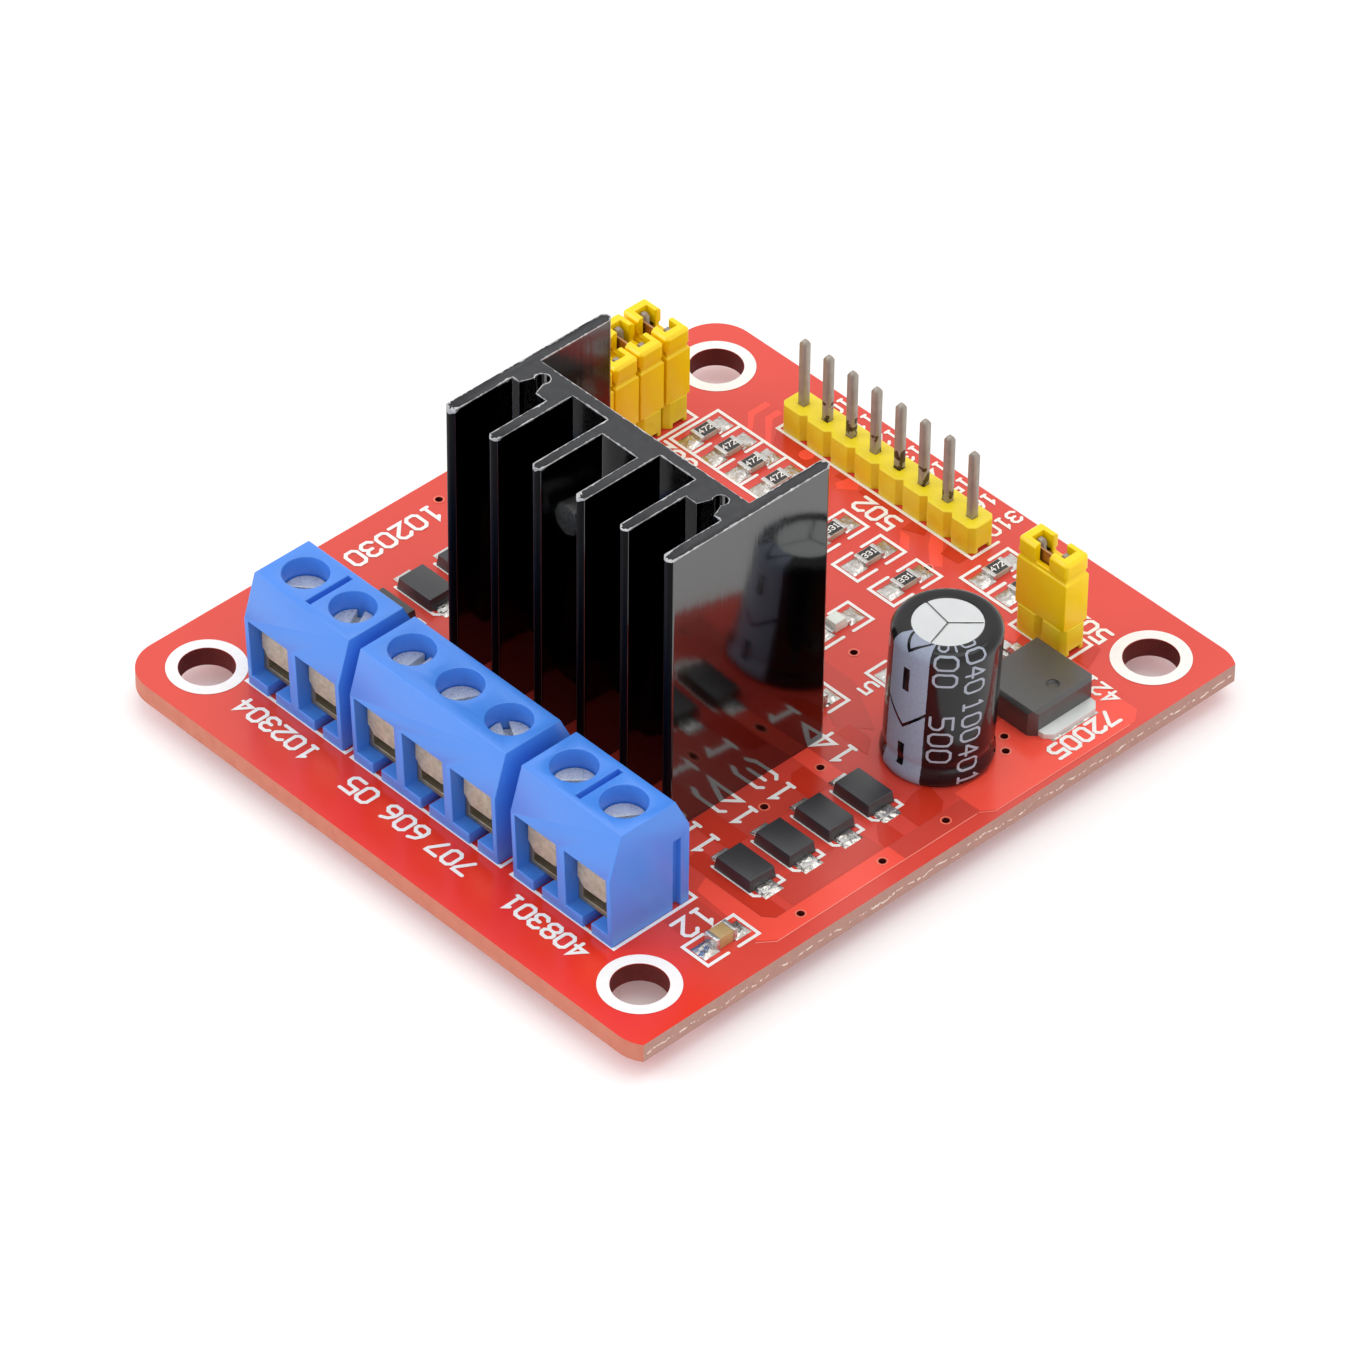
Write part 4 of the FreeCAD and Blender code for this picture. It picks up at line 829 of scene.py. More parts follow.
# %% [markdown]
# ## Dimple in the regulator
# The pin that pushed the regulator out of its mould left a shallow round dimple.

# %% Dimple
REGULATOR_TOP = BOARD_TOP + 2.3
DIMPLE_PLACE, DIMPLE_RADIUS, DIMPLE_DEPTH = (21.83, 16.2), 0.52, 0.2


def press_dimple(thing, x, y, top, radius, depth, count=32):
    """Cuts a shallow round dimple: a drum that stands in the top by depth is taken away
    by a Boolean modifier, and the finished mesh takes the copy's place."""
    rims = [(radius * 0.8, top - depth), (radius, top - depth * 0.4), (radius, top + 1.0)]
    points = [(x + r * c, y + r * s, z) for r, z in rims for c, s in unit_circle(count)]
    faces = grid_faces(3, count, wrap=True).tolist()
    faces += [list(range(count))[::-1], list(range(2 * count, 3 * count))]
    mesh = bpy.data.meshes.new("drum")
    mesh.from_pydata((np.array(points) * MM).tolist(), [], faces)
    drum = bpy.data.objects.new("drum", mesh)
    scene.collection.objects.link(drum)
    taken = thing.modifiers.new("dimple", "BOOLEAN")
    taken.operation = "DIFFERENCE"
    taken.solver = "EXACT"
    taken.object = drum
    view = bpy.context.evaluated_depsgraph_get()
    thing.data = bpy.data.meshes.new_from_object(thing.evaluated_get(view), depsgraph=view)
    thing.modifiers.clear()
    bpy.data.objects.remove(drum)


regulator = ROUND_COPIES["regulator_body"]
press_dimple(regulator, *DIMPLE_PLACE, REGULATOR_TOP, DIMPLE_RADIUS, DIMPLE_DEPTH)
print("regulator:", len(regulator.data.polygons), "faces with its dimple")

# %% [markdown]
# ## Printing on the board
# The white print is a thin layer of ink. Each line is a strip of constant width that
# follows a list of corners, with round ends, and it lies three or four hundredths of a
# millimetre above the lacquer. The print is plain numbers and outlines.

# %% Strips of ink
INK_LEVEL = BOARD_TOP + 0.032
LEVELS, LEVEL_STEP, CORNER_STEP, MITRE_LIMIT = 7, 0.0011, 0.001, 0.4


def round_end(pile, tip, high, way, width):
    """Half a disc round the tip of a strip; way is the direction out of the strip."""
    turn = np.linspace(-math.pi / 2, math.pi / 2, 7)
    across = np.array([-way[1], way[0]])
    arc = tip + width / 2 * (np.cos(turn)[:, None] * way + np.sin(turn)[:, None] * across)
    pile.add(np.column_stack([arc, np.full(7, high)]), [tuple(range(7))])


def stroke(pile, corners, width, level=INK_LEVEL, closed=False):
    """A flat strip along corners: at each corner the two sides stand half the width away
    along the mean of the two neighbouring normals, lengthened by one over the cosine of
    half the turn. Open strips get half-round ends. Each strip starts a little higher or
    lower than the one before and climbs by a thousandth of a millimetre at each corner,
    so crossing strips never share a plane."""
    path = np.asarray(corners, float)
    ahead = np.roll(path, -1, axis=0) - path
    if not closed:
        ahead[-1] = ahead[-2]
    ahead /= np.linalg.norm(ahead, axis=1)[:, None]
    behind = np.roll(ahead, 1, axis=0)
    if not closed:
        behind[0] = ahead[0]
    side_a = np.stack([-ahead[:, 1], ahead[:, 0]], axis=1)
    side_b = np.stack([-behind[:, 1], behind[:, 0]], axis=1)
    mean = side_a + side_b
    mean /= np.linalg.norm(mean, axis=1)[:, None]
    reach = width / 2 / np.maximum((mean * side_a).sum(axis=1), MITRE_LIMIT)
    left, right_side = path + mean * reach[:, None], path - mean * reach[:, None]
    count = len(path)
    start = level + LEVEL_STEP * (pile.count % LEVELS)
    climb = start + CORNER_STEP * np.arange(count) * (0 if closed else 1)
    strip = np.column_stack([np.concatenate([right_side, left]), np.tile(climb, 2)])
    first = np.arange(count if closed else count - 1)
    after = (first + 1) % count
    faces = np.stack([first, after, after + count, first + count], axis=1).tolist()
    pile.add(strip, faces)
    if not closed:
        round_end(pile, path[-1], climb[-1], ahead[-1], width)
        round_end(pile, path[0], climb[0], -ahead[0], width)


print("ink lies at", round(INK_LEVEL, 3), "mm")

# %% [markdown]
# ## Shapes of the digits
# Each digit is one or two lines through corners on a lattice four steps wide and six
# high. A number is its digits side by side, turned to the way it reads on the board.

# %% Digits
DIGITS = {
    "0": [[(1, 0), (3, 0), (4, 1), (4, 5), (3, 6), (1, 6), (0, 5), (0, 1), (1, 0)]],
    "1": [[(1, 5), (2, 6), (2, 0)], [(1, 0), (3, 0)]],
    "2": [[(0, 5), (1, 6), (3, 6), (4, 5), (4, 4), (0, 0), (4, 0)]],
    "3": [
        [(0, 5), (1, 6), (3, 6), (4, 5), (4, 4), (3, 3), (4, 2), (4, 1), (3, 0), (1, 0), (0, 1)],
        [(1.5, 3), (3, 3)],
    ],
    "4": [[(3, 0), (3, 6), (0, 2), (4, 2)]],
    "5": [[(4, 6), (0, 6), (0, 3.4), (3, 3.4), (4, 2.4), (4, 1), (3, 0), (0, 0)]],
    "6": [[(3, 6), (1, 5), (0, 3), (0, 1), (1, 0), (3, 0), (4, 1), (4, 2), (3, 3), (0, 3)]],
    "7": [[(0, 6), (4, 6), (4, 5), (1, 0)]],
    "8": [
        [(1, 3), (0, 4), (0, 5), (1, 6), (3, 6), (4, 5), (4, 4), (3, 3)]
        + [(1, 3), (0, 2), (0, 1), (1, 0), (3, 0), (4, 1), (4, 2), (3, 3)]
    ],
    "9": [[(4, 3), (1, 3), (0, 4), (0, 5), (1, 6), (3, 6), (4, 5), (4, 3), (3, 1), (1, 0)]],
}


def number_strokes(text, centre, height, turn):
    """Corner lists of a number: digits on a 4 by 6 lattice set side by side, centred,
    scaled to the height and turned by turn degrees."""
    unit = height / 6
    advance = 5.6 * unit
    total = advance * len(text) - 1.6 * unit
    cosine, sine = math.cos(math.radians(turn)), math.sin(math.radians(turn))
    spin = np.array([[cosine, sine], [-sine, cosine]])
    lines = []
    for i, digit in enumerate(text):
        for line in DIGITS[digit]:
            flat = np.array(line, float) * unit
            flat[:, 0] += i * advance - total / 2
            flat[:, 1] -= height / 2
            lines.append(flat @ spin + np.asarray(centre))
    return lines


print("472 takes", len(number_strokes("472", (0, 0), 1.0, 0)), "lines")

# %% [markdown]
# ## Where the numbers stand
# Every row is a number, the middle of its place, its height and the turn it reads in.
# Small numbers have a thinner line.

# %% Numbers on the board
NUMBERS = [
    ("102304", (-14.35, -26.2), 1.45, 180),
    ("05", (-5.35, -26.2), 1.6, 180),
    ("606", (-0.62, -26.2), 1.55, 180),
    ("707", (4.33, -26.2), 1.5, 180),
    ("408301", (14.05, -26.2), 1.45, 180),
    ("14", (14.3, 1.7), 1.95, 180),
    ("13", (14.2, -4.35), 1.95, 180),
    ("12", (14.2, -8.07), 1.95, 180),
    ("11", (14.5, -12.1), 1.95, 180),
    ("12", (20.85, -18.3), 1.75, -90),
    ("5", (11.3, 8.05), 1.25, 180),
    ("421", (22.75, 20.2), 1.25, 180),
    ("502", (17.4, 24.45), 1.4, 180),
    ("72005", (25.45, 15.8), 1.4, -90),
    ("502", (-2.3, 22.15), 1.5, 180),
    ("302", (-17.2, 15.75), 1.4, 180),
    ("102030", (-24.6, -5.7), 1.6, -90),
    ("310", (4.9, 28.2), 1.2, -90),
]
PIN_FIRST, PIN_PITCH = -13.07, 2.54
NUMBERS += [(str(101 + 10 * i), (PIN_FIRST + PIN_PITCH * i, 28.35), 1.1, -90) for i in range(7)]
THICK_LINE, THIN_LINE, SMALL_HEIGHT = 0.3, 0.25, 1.3
ink = Pile()
for text, centre, height, turn in NUMBERS:
    for line in number_strokes(text, centre, height, turn):
        stroke(ink, line, THICK_LINE if height > SMALL_HEIGHT else THIN_LINE)
print(len(NUMBERS), "numbers")

# %% [markdown]
# ## Outlines round the parts
# The outlines show where each part goes on the bare board. Chip parts stand between
# square brackets, terminals and large parts in closed boxes, and each diode has two bent
# lines at its corners.

# %% Outlines
OUTLINE = 0.27
CHIP_PARTS = [(-2.93, 18.18), (1.0, 18.18), (4.78, 18.18), (8.45, 24.0), (11.1, 24.0)]
CHIP_PARTS += [(23.45, -18.2), (11.35, 11.5), (10.0, 3.6), (4.78, 11.15)]
BRACKET_WIDE, BRACKET_LONG, BRACKET_GAP = 2.6, 4.9, 0.5


def bracket_outline(x, y):
    """The print round a chip part: two square brackets that leave a gap at mid length."""
    a, b = BRACKET_WIDE / 2, BRACKET_LONG / 2
    for side in (-1, 1):
        near_y, far_y = y + side * BRACKET_GAP, y + side * b
        stroke(ink, [(x - a, near_y), (x - a, far_y), (x + a, far_y), (x + a, near_y)], OUTLINE)


def box_outline(low_x, low_y, high_x, high_y):
    """A closed box of print between two opposite corners."""
    corners = [(low_x, low_y), (high_x, low_y), (high_x, high_y), (low_x, high_y)]
    stroke(ink, corners, OUTLINE, closed=True)


for x, y in CHIP_PARTS:
    bracket_outline(x, y)
BANK_LOW, BANK_HIGH = 16.95, 21.86
box_outline(-18.95, BANK_LOW, -8.6, BANK_HIGH)
for x in (-16.5, -14.0, -11.5):
    stroke(ink, [(x, BANK_LOW), (x, 18.75)], OUTLINE)
    stroke(ink, [(x, 20.0), (x, BANK_HIGH)], OUTLINE)
stroke(ink, [(-14.4, 26.45), (-14.4, 23.67), (6.15, 23.67), (6.15, 26.45)], OUTLINE)
for low, high in ((-19.75, -9.05), (-8.4, 7.4), (8.5, 19.05)):
    box_outline(low, -24.3, high, -16.45)
DIODE_ROWS, DIODE_COLUMNS = (-12.1, -8.22, -4.34, -0.46), (19.5, -18.2)
for y in DIODE_ROWS:
    for x in DIODE_COLUMNS:
        stroke(ink, [(x - 2.0, y - 1.27), (x + 2.2, y - 1.27), (x + 2.5, y - 0.97)], OUTLINE)
        stroke(ink, [(x + 1.8, y + 1.44), (x + 2.45, y + 1.44), (x + 2.45, y + 0.95)], OUTLINE)
box_outline(13.3, 20.5, 18.95, 23.2)
box_outline(-25.1, 9.3, -19.45, 20.1)
printing = ink.finish("board_printing", silk_white, "board_laminate")
print("printing:", len(printing.data.polygons), "faces")

# %% [markdown]
# ## Rings and collars
# A white ring of print surrounds each corner hole. Each small plated hole, a via, has a
# narrow collar of copper that shows pale through the lacquer.

# %% Rings
HOLES = [(x, y) for x in (-22.86, 22.86) for y in (-25.4, 25.4)]
RING_INNER, RING_OUTER = 2.12, 3.02
VIAS = [(25.25, 2.1), (25.25, -4.2), (25.25, -12.2), (15.15, -0.5), (15.45, -6.35), (7.8, 10.0)]
VIAS += [(4.7, 20.6), (21.7, 11.5), (22.9, 10.45), (-25.45, -0.45)]
COLLAR_INNER, COLLAR_OUTER, COLLAR_LEVEL = 0.3, 0.44, BOARD_TOP + 0.031


def ring(pile, x, y, inner, outer, level, count):
    """A flat ring: two circles of points, inner and outer, joined by faces."""
    circle = unit_circle(count)
    both = np.concatenate([circle * inner, circle * outer]) + np.array([x, y])
    i = np.arange(count)
    j = (i + 1) % count
    faces = np.stack([i, i + count, j + count, j], axis=1).tolist()
    pile.add(np.column_stack([both, np.full(2 * count, level)]), faces)


rings, collars = Pile(), Pile()
for x, y in HOLES:
    ring(rings, x, y, RING_INNER, RING_OUTER, INK_LEVEL, 64)
rings.finish("hole_rings", silk_white, "board_laminate")
for x, y in VIAS:
    ring(collars, x, y, COLLAR_INNER, COLLAR_OUTER, COLLAR_LEVEL, 20)
collars.finish("via_collars", via_rim, "board_laminate")
print(len(HOLES), "rings and", len(VIAS), "collars")

# %% [markdown]
# ## Copper under the lacquer
# Copper tracks and fields make the lacquer brighter, and bare laminate makes it darker.
# Each field is a flat polygon with cut corners, seen from above, in three shades.

# %% Outlines of the copper
BRIGHT_FIELDS = [
    [(24.4, -2.8), (26.15, -2.8), (26.15, -15.2), (25.2, -16.4), (18.6, -15.9), (18.0, -14.5)]
    + [(23.6, -14.45), (24.4, -13.8)],
    [(23.6, 4.6), (26.15, 4.6), (26.9, 5.6), (26.9, 19.6), (26.1, 20.6), (22.4, 20.6), (22.4, 13.0)]
    + [(20.2, 13.0), (20.2, 10.9), (23.6, 8.0)],
    [(13.0, -1.2), (17.0, -1.2), (17.0, 0.3), (13.0, 0.3)],
    [(-17.3, 25.2), (-16.7, 25.2), (-16.7, 23.5), (-15.4, 22.0), (-15.9, 22.0), (-17.3, 23.4)],
    [(-16.0, 25.2), (-15.4, 25.2), (-15.4, 24.1), (-13.4, 22.0), (-14.0, 22.0), (-16.0, 23.9)],
    [(1.8, 23.9), (3.0, 23.9), (5.4, 21.4), (4.6, 20.9), (2.9, 22.4)],
    [(0.3, 22.1), (1.3, 22.1), (2.4, 20.9), (1.6, 20.7)],
    [(-6.6, 23.7), (-5.6, 23.7), (-5.2, 23.0), (-6.3, 22.0), (-6.9, 22.4)],
    [(12.9, 20.6), (14.6, 20.6), (14.9, 19.4), (13.6, 18.8), (12.9, 19.4)],
]
MIDDLE_FIELDS = [
    [(24.4, -2.8), (26.15, -2.8), (26.15, 4.5), (24.4, 4.5)],
    [(21.7, -12.0), (24.3, -12.0), (24.3, -3.2), (21.7, -3.2)],
    [(13.0, -9.3), (17.0, -9.3), (17.0, -3.5), (13.0, -3.5)],
    [(12.8, 0.4), (15.0, 0.4), (15.0, 4.5), (12.8, 4.5)],
    [(6.9, 7.8), (10.2, 7.8), (14.9, 5.2), (12.5, 3.4), (11.3, 4.0), (8.4, 6.3)],
    [(19.3, -16.5), (22.0, -16.5), (22.0, -19.8), (19.3, -19.8)],
]
DARK_FIELDS = [
    [(15.5, -12.75), (24.35, -12.75), (24.35, -13.7), (23.6, -14.4), (15.8, -14.4)],
    [(13.0, -9.35), (17.0, -9.35), (17.0, -11.2), (15.0, -11.5), (13.0, -11.3)],
    [(21.6, 3.9), (23.7, 3.4), (24.4, 2.5), (24.4, 0.25), (22.3, 0.25), (21.6, 2.4)],
    [(22.1, -1.2), (24.35, -1.2), (24.35, -3.1), (23.6, -2.9), (22.3, -1.9)],
    [(14.2, -1.3), (17.0, -1.3), (17.0, -3.4), (15.2, -3.4), (14.2, -2.5)],
    [(13.2, 2.9), (16.5, 2.9), (15.4, 4.3), (13.2, 4.3)],
    [(-14.3, 23.5), (-8.6, 23.5), (-8.6, 22.7), (-9.8, 21.95), (-13.2, 21.95)],
    [(-7.5, 23.7), (-6.7, 23.7), (-6.7, 23.0), (-7.5, 22.9)],
    [(-5.0, 23.7), (-1.1, 23.7), (-1.1, 22.9), (-5.0, 22.9)],
    [(0.1, 23.7), (1.6, 23.7), (1.9, 23.0), (0.2, 22.3)],
    [(3.8, 23.7), (5.9, 23.7), (5.9, 22.6), (4.2, 22.4)],
    [(19.1, 21.2), (20.6, 21.2), (19.7, 23.4), (19.1, 23.4)],
]
print(len(BRIGHT_FIELDS), "bright,", len(MIDDLE_FIELDS), "middle and", len(DARK_FIELDS), "dark fields")

# %% [markdown]
# ## From an outline to a surface
# A field is cut into triangles, with a round hole left wherever a via stands inside it.
# Every field lies on a level of its own, about three hundredths of a millimetre above
# the board at most, so that no two surfaces share a plane.

# %% Copper fields
VIA_CLEARANCE = 0.32
FIRST_LEVEL, SHADE_STEP, FIELD_STEP = BOARD_TOP + 0.006, 0.008, 0.0008


def encloses(corners, x, y):
    """True where a level ray from the point crosses the outline an odd number of times."""
    a = np.asarray(corners, float)
    b = np.roll(a, -1, axis=0)
    spans = (a[:, 1] > y) != (b[:, 1] > y)
    start, step = a[spans], (b - a)[spans]
    crossing = start[:, 0] + (y - start[:, 1]) * step[:, 0] / step[:, 1]
    return bool((crossing > x).sum() % 2)


def field(pile, corners, level):
    """Triangles between an outline and a round hole at each via inside it, all turned to
    face up: the sign of a triangle's area tells which way it is wound."""
    hole = VIA_CLEARANCE * unit_circle(16)
    loops = [np.asarray(corners, float)]
    loops += [hole + np.array(via) for via in VIAS if encloses(corners, *via)]
    triangles = np.array(tessellate_polygon([[Vector((x, y, 0)) for x, y in loop] for loop in loops]))
    flat = np.concatenate(loops)
    a, b, c = (flat[triangles[:, k]] for k in range(3))
    area = (b[:, 0] - a[:, 0]) * (c[:, 1] - a[:, 1]) - (b[:, 1] - a[:, 1]) * (c[:, 0] - a[:, 0])
    triangles = np.where((area > 0)[:, None], triangles, triangles[:, ::-1])
    pile.add(np.column_stack([flat, np.full(len(flat), level)]), triangles)


def shade_pile(rank, outlines):
    """All fields of one shade, each a step higher than the one before."""
    fields = Pile()
    for i, corners in enumerate(outlines):
        field(fields, corners, FIRST_LEVEL + SHADE_STEP * rank + FIELD_STEP * i)
    return fields


bright, middle, dark = (
    shade_pile(rank, outlines) for rank, outlines in enumerate((BRIGHT_FIELDS, MIDDLE_FIELDS, DARK_FIELDS))
)
PADS, PAD_RADIUS, PAD_LEVEL = [(-10.7, 23.1), (4.6, 23.1)], 0.6, BOARD_TOP + 0.0285
for pad in PADS:
    field(bright, PAD_RADIUS * unit_circle(24) + np.array(pad), PAD_LEVEL)
bright.finish("copper_bright", red_bright, "board_laminate")
middle.finish("copper_middle", red_middle, "board_laminate")
dark.finish("laminate_dark", red_dark, "board_laminate")
print("triangles:", len(bright.faces), len(middle.faces), len(dark.faces))

# %% [markdown]
# ## Rim of the copper
# Along the right edge of the copper a thin pale line is drawn, a painted highlight on the copper's edge.

# %% Rim lines
RIM_LEVEL = BOARD_TOP + 0.0295
edge_highlights = Pile()
stroke(edge_highlights, [(26.25, 4.2), (26.2, -5.3), (26.2, -15.4), (25.3, -16.6)], 0.09, RIM_LEVEL)
stroke(edge_highlights, [(26.95, 19.0), (26.95, 5.4), (26.25, 4.4)], 0.07, RIM_LEVEL)
edge_highlights.finish("copper_rim_highlights", copper_edge_highlight, "board_laminate")
print("rim lines:", len(edge_highlights.faces), "faces")

# %% [markdown]
# ## Solder on the top
# Each pad holds a small hill of solder that climbs the end of its part. The hill is a
# height over a square grid: full in the middle, falling to the pad's rim as the fourth
# power, and higher towards the part. A fine random ripple breaks its highlights.

# %% Solder hills
chance = np.random.default_rng(7)
HILL_ROWS, RIPPLE = 14, 0.03


def hill(pile, x, y, wide, long, high, toward):
    """Height = high * (1 - u^4)(1 - v^4) * (0.35 + 0.65 * climb^2), where climb runs from
    0 at the far rim to 1 at the part; toward is the direction to the part."""
    u, v = np.meshgrid(*[np.linspace(-1, 1, HILL_ROWS)] * 2, indexing="ij")
    way = np.array(toward, float)
    climb = ((u * way[0] + v * way[1]) + 1) / 2
    lift = high * (0.35 + 0.65 * climb**2) + RIPPLE * chance.standard_normal(u.shape)
    lift *= (1 - u**4) * (1 - v**4)
    points = np.stack([x + u * wide / 2, y + v * long / 2, BOARD_TOP + 0.02 + lift], axis=-1)
    pile.add(points, grid_faces(HILL_ROWS, HILL_ROWS)[:, ::-1])


RESISTORS = [(-17.6, 19.25), (-15.05, 19.25), (-12.5, 19.25), (-9.95, 19.25)] + CHIP_PARTS[:5]
solder = Pile()
for x, y in RESISTORS + CHIP_PARTS[5:]:
    for side in (-1, 1):
        hill(solder, x, y + side * 1.5, 1.55, 1.45, 0.4, (0, -side))
for y in DIODE_ROWS:
    for x in DIODE_COLUMNS:
        hill(solder, x + 2.4, y, 1.3, 1.75, 0.34, (-1, 0))
        hill(solder, x - 2.3, y, 1.0, 1.55, 0.3, (1, 0))
for side in (-1, 1):
    hill(solder, 15.1, 16 + side * 2.285, 1.9, 1.5, 0.45, (1, 0))
hill(solder, 24.25, 16, 0.5, 4.6, 0.12, (-1, 0))
solder_hills = solder.finish("solder_hills", bright_solder, "solder", smooth=True)
print("solder hills:", len(solder_hills.data.polygons), "faces")

# %% [markdown]
# ## Numbers on the resistors
# Each chip resistor has a black glaze on top with its value in white. The glaze covers
# most of the top of the pale ceramic brick, and the number lies just above it.

# %% Resistor numbers
RESISTOR_TOP, INK_LIFT = BOARD_TOP + 0.5 + 0.012, 0.012
GLAZE_CORNERS = np.array([(-0.58, -0.64), (0.58, -0.64), (0.58, 0.64), (-0.58, 0.64)])
values, glazes = Pile(), Pile()
for i, (x, y) in enumerate(RESISTORS):
    number = "472" if i < 4 or i > 6 else "331"
    for line in number_strokes(number, (x, y), 0.48, 90):
        stroke(values, line, 0.085, RESISTOR_TOP + INK_LIFT)
    corners = GLAZE_CORNERS + np.array([x, y])
    glazes.add(np.column_stack([corners, np.full(4, RESISTOR_TOP)]), [(0, 1, 2, 3)])
values.finish("resistor_numbers", silk_white, "resistor_film")
glazes.finish("resistor_glazes", resistor_glaze, "resistor_film")
print(len(RESISTORS), "resistors numbered")

# %% [markdown]
# ## Bare metal along the heatsink's cut ends
# The extrusion was sawn after its black coat, so a thin bright line runs round the top
# of every fin. It is a narrow ribbon that follows the outline, wider and narrower by
# chance.

# %% Section of the heatsink
FIN_PITCH, FIN_HALF, SIDE_HALF, FIN_CUT = 4.468, 0.425, 0.475, 0.3
SLOT_FLOORS = (2.7, 0.95, 2.3, 0.95, 2.7)


def screw_channel(middle, floor):
    """A raised channel with a round bore that opens to the front, in the floor of a slot."""
    turn = np.radians(np.linspace(225, -45, 10))
    corners = [(middle - 0.875, floor), (middle - 0.45, floor + 1.1)]
    corners += [(middle + 0.6 * math.cos(a), -1.24 + 0.6 * math.sin(a)) for a in turn]
    return corners + [(middle + 0.45, floor + 1.1), (middle + 0.875, floor)]


def sink_outline():
    """Corners of the heatsink's section, in order, as in the solid: out and back along
    each fin, then round the two side plates and the back."""
    corners = []
    for i in range(6):
        middle = (i - 2.5) * FIN_PITCH
        half = SIDE_HALF if i in (0, 5) else FIN_HALF
        corners += [(middle - half, FIN_CUT - FIN_REACH), (middle - half + FIN_CUT, -FIN_REACH)]
        corners += [(middle + half - FIN_CUT, -FIN_REACH), (middle + half, FIN_CUT - FIN_REACH)]
        if i == 5:
            break
        corners.append((middle + half, -SLOT_FLOORS[i]))
        if i in (0, 4):
            corners += screw_channel((i - 2) * (FIN_PITCH + 0.085), -SLOT_FLOORS[i])
        after = SIDE_HALF if i == 4 else FIN_HALF
        corners.append(((i - 1.5) * FIN_PITCH - after, -SLOT_FLOORS[i]))
    outer, inner = 2.5 * FIN_PITCH + SIDE_HALF, 2.5 * FIN_PITCH - SIDE_HALF
    cut = SIDE_REACH - FIN_CUT
    side = [(outer, cut), (outer - FIN_CUT, SIDE_REACH), (inner + FIN_CUT, SIDE_REACH)]
    side += [(inner, cut), (inner, 0)]
    corners += side + [(-x, y) for x, y in side[::-1]]
    return np.array(corners) + np.array([SINK_X, SINK_Y])


print("the section has", len(sink_outline()), "corners")

# %% [markdown]
# ## The ribbon of bare metal
# Points stand every fifth of a millimetre along the outline, and each has a partner
# further in and one a little lower on the side. Chance sets how far.

# %% Bright saw line
STEP, EDGE_LIFT = 0.2, 0.012


def saw_line(outline):
    """The outline cut into short steps: at each a point on the edge, a point inside it
    and the width between them. Width = 0.012 + 0.4 times the part of a slow noise over
    its middle + 0.08 times the third power of chance, and it doubles at the fins' ends."""
    after = np.roll(outline, -1, axis=0)
    length = np.linalg.norm(after - outline, axis=1)
    points, inward = [], []
    for a, b, span in zip(outline, after, length):
        count = max(2, int(span / STEP))
        t = np.linspace(0, 1, count, endpoint=False)[:, None]
        points.append(a + (b - a) * t)
        way = (b - a) / max(span, 1e-9)
        inward.append(np.repeat([[-way[1], way[0]]], count, axis=0))
    points, inward = np.concatenate(points), np.concatenate(inward)
    slow = np.convolve(chance.random(len(points) + 6), np.ones(7) / 7, "valid")
    width = 0.012 + 0.4 * np.clip(slow - 0.5, 0, 1) + 0.08 * chance.random(len(points)) ** 3
    tip = (points[:, 1] < FIN_FRONT + 0.7) | (points[:, 1] > FIN_BACK - 0.5)
    width = np.where(tip, 2.2 * width + 0.03, width)
    return points - inward * EDGE_LIFT, points + inward * width[:, None], width


edge_line, inner_line, worn = saw_line(sink_outline())
count = len(edge_line)
level = np.full((count, 1), SINK_TOP + EDGE_LIFT)
drop = (SINK_TOP - 0.03 - 0.8 * worn)[:, None]
rows = [np.hstack([edge_line, drop]), np.hstack([edge_line, level]), np.hstack([inner_line, level])]
faces = grid_faces(3, count, wrap=True).tolist()
piece("heatsink_saw_line", np.concatenate(rows), faces, bare_metal)
print("saw line:", count, "steps")

# %% [markdown]
# ## The capacitor
# The can stands in a printed film that was shrunk over it, so the film follows the
# crimped neck and closes over the rim. Its section is turned round the axis. The bare
# top is pressed with three grooves that meet in the middle, where it would open under
# pressure. The real one leans a little, and so does this one.

# %% The capacitor's axis
CAN_X, CAN_Y, CAN_RADIUS, CAN_TOP = 19.5, 6.9, 4.06, 12.33
LEAN = math.radians(2.1)
LEAN_WAY = np.array([0.86, 0.5, 0.0])


def lean(points):
    """Each point moves sideways by its height over the board times the lean's tangent."""
    moved = np.array(points, float)
    height = moved[:, 2] - BOARD_TOP
    moved += np.outer(height * math.tan(LEAN), LEAN_WAY)
    return moved


def turned(section, count=96):
    """A section of (radius, height) pairs carried round the capacitor's axis."""
    radius, height = np.asarray(section, float).T
    circle = unit_circle(count)
    x = CAN_X + radius[:, None] * circle[:, 0]
    y = CAN_Y + radius[:, None] * circle[:, 1]
    z = np.repeat(BOARD_TOP + height[:, None], count, axis=1)
    points = np.stack([x, y, z], axis=-1).reshape(-1, 3)
    return lean(points), grid_faces(len(radius), count, wrap=True)


def run_along(line):
    """The way along a line from its first point to each point."""
    steps = np.linalg.norm(np.diff(line, axis=0), axis=1)
    return np.concatenate([[0], np.cumsum(steps)])


print("the can leans by", round(math.degrees(LEAN), 1), "degrees")

# %% [markdown]
# ## Section of the film
# The film shrank into the crimp above the foot and over the shoulder of the can, and it
# ends in a small lip where the bare top begins.

# %% Film section
SHOULDER = 0.75


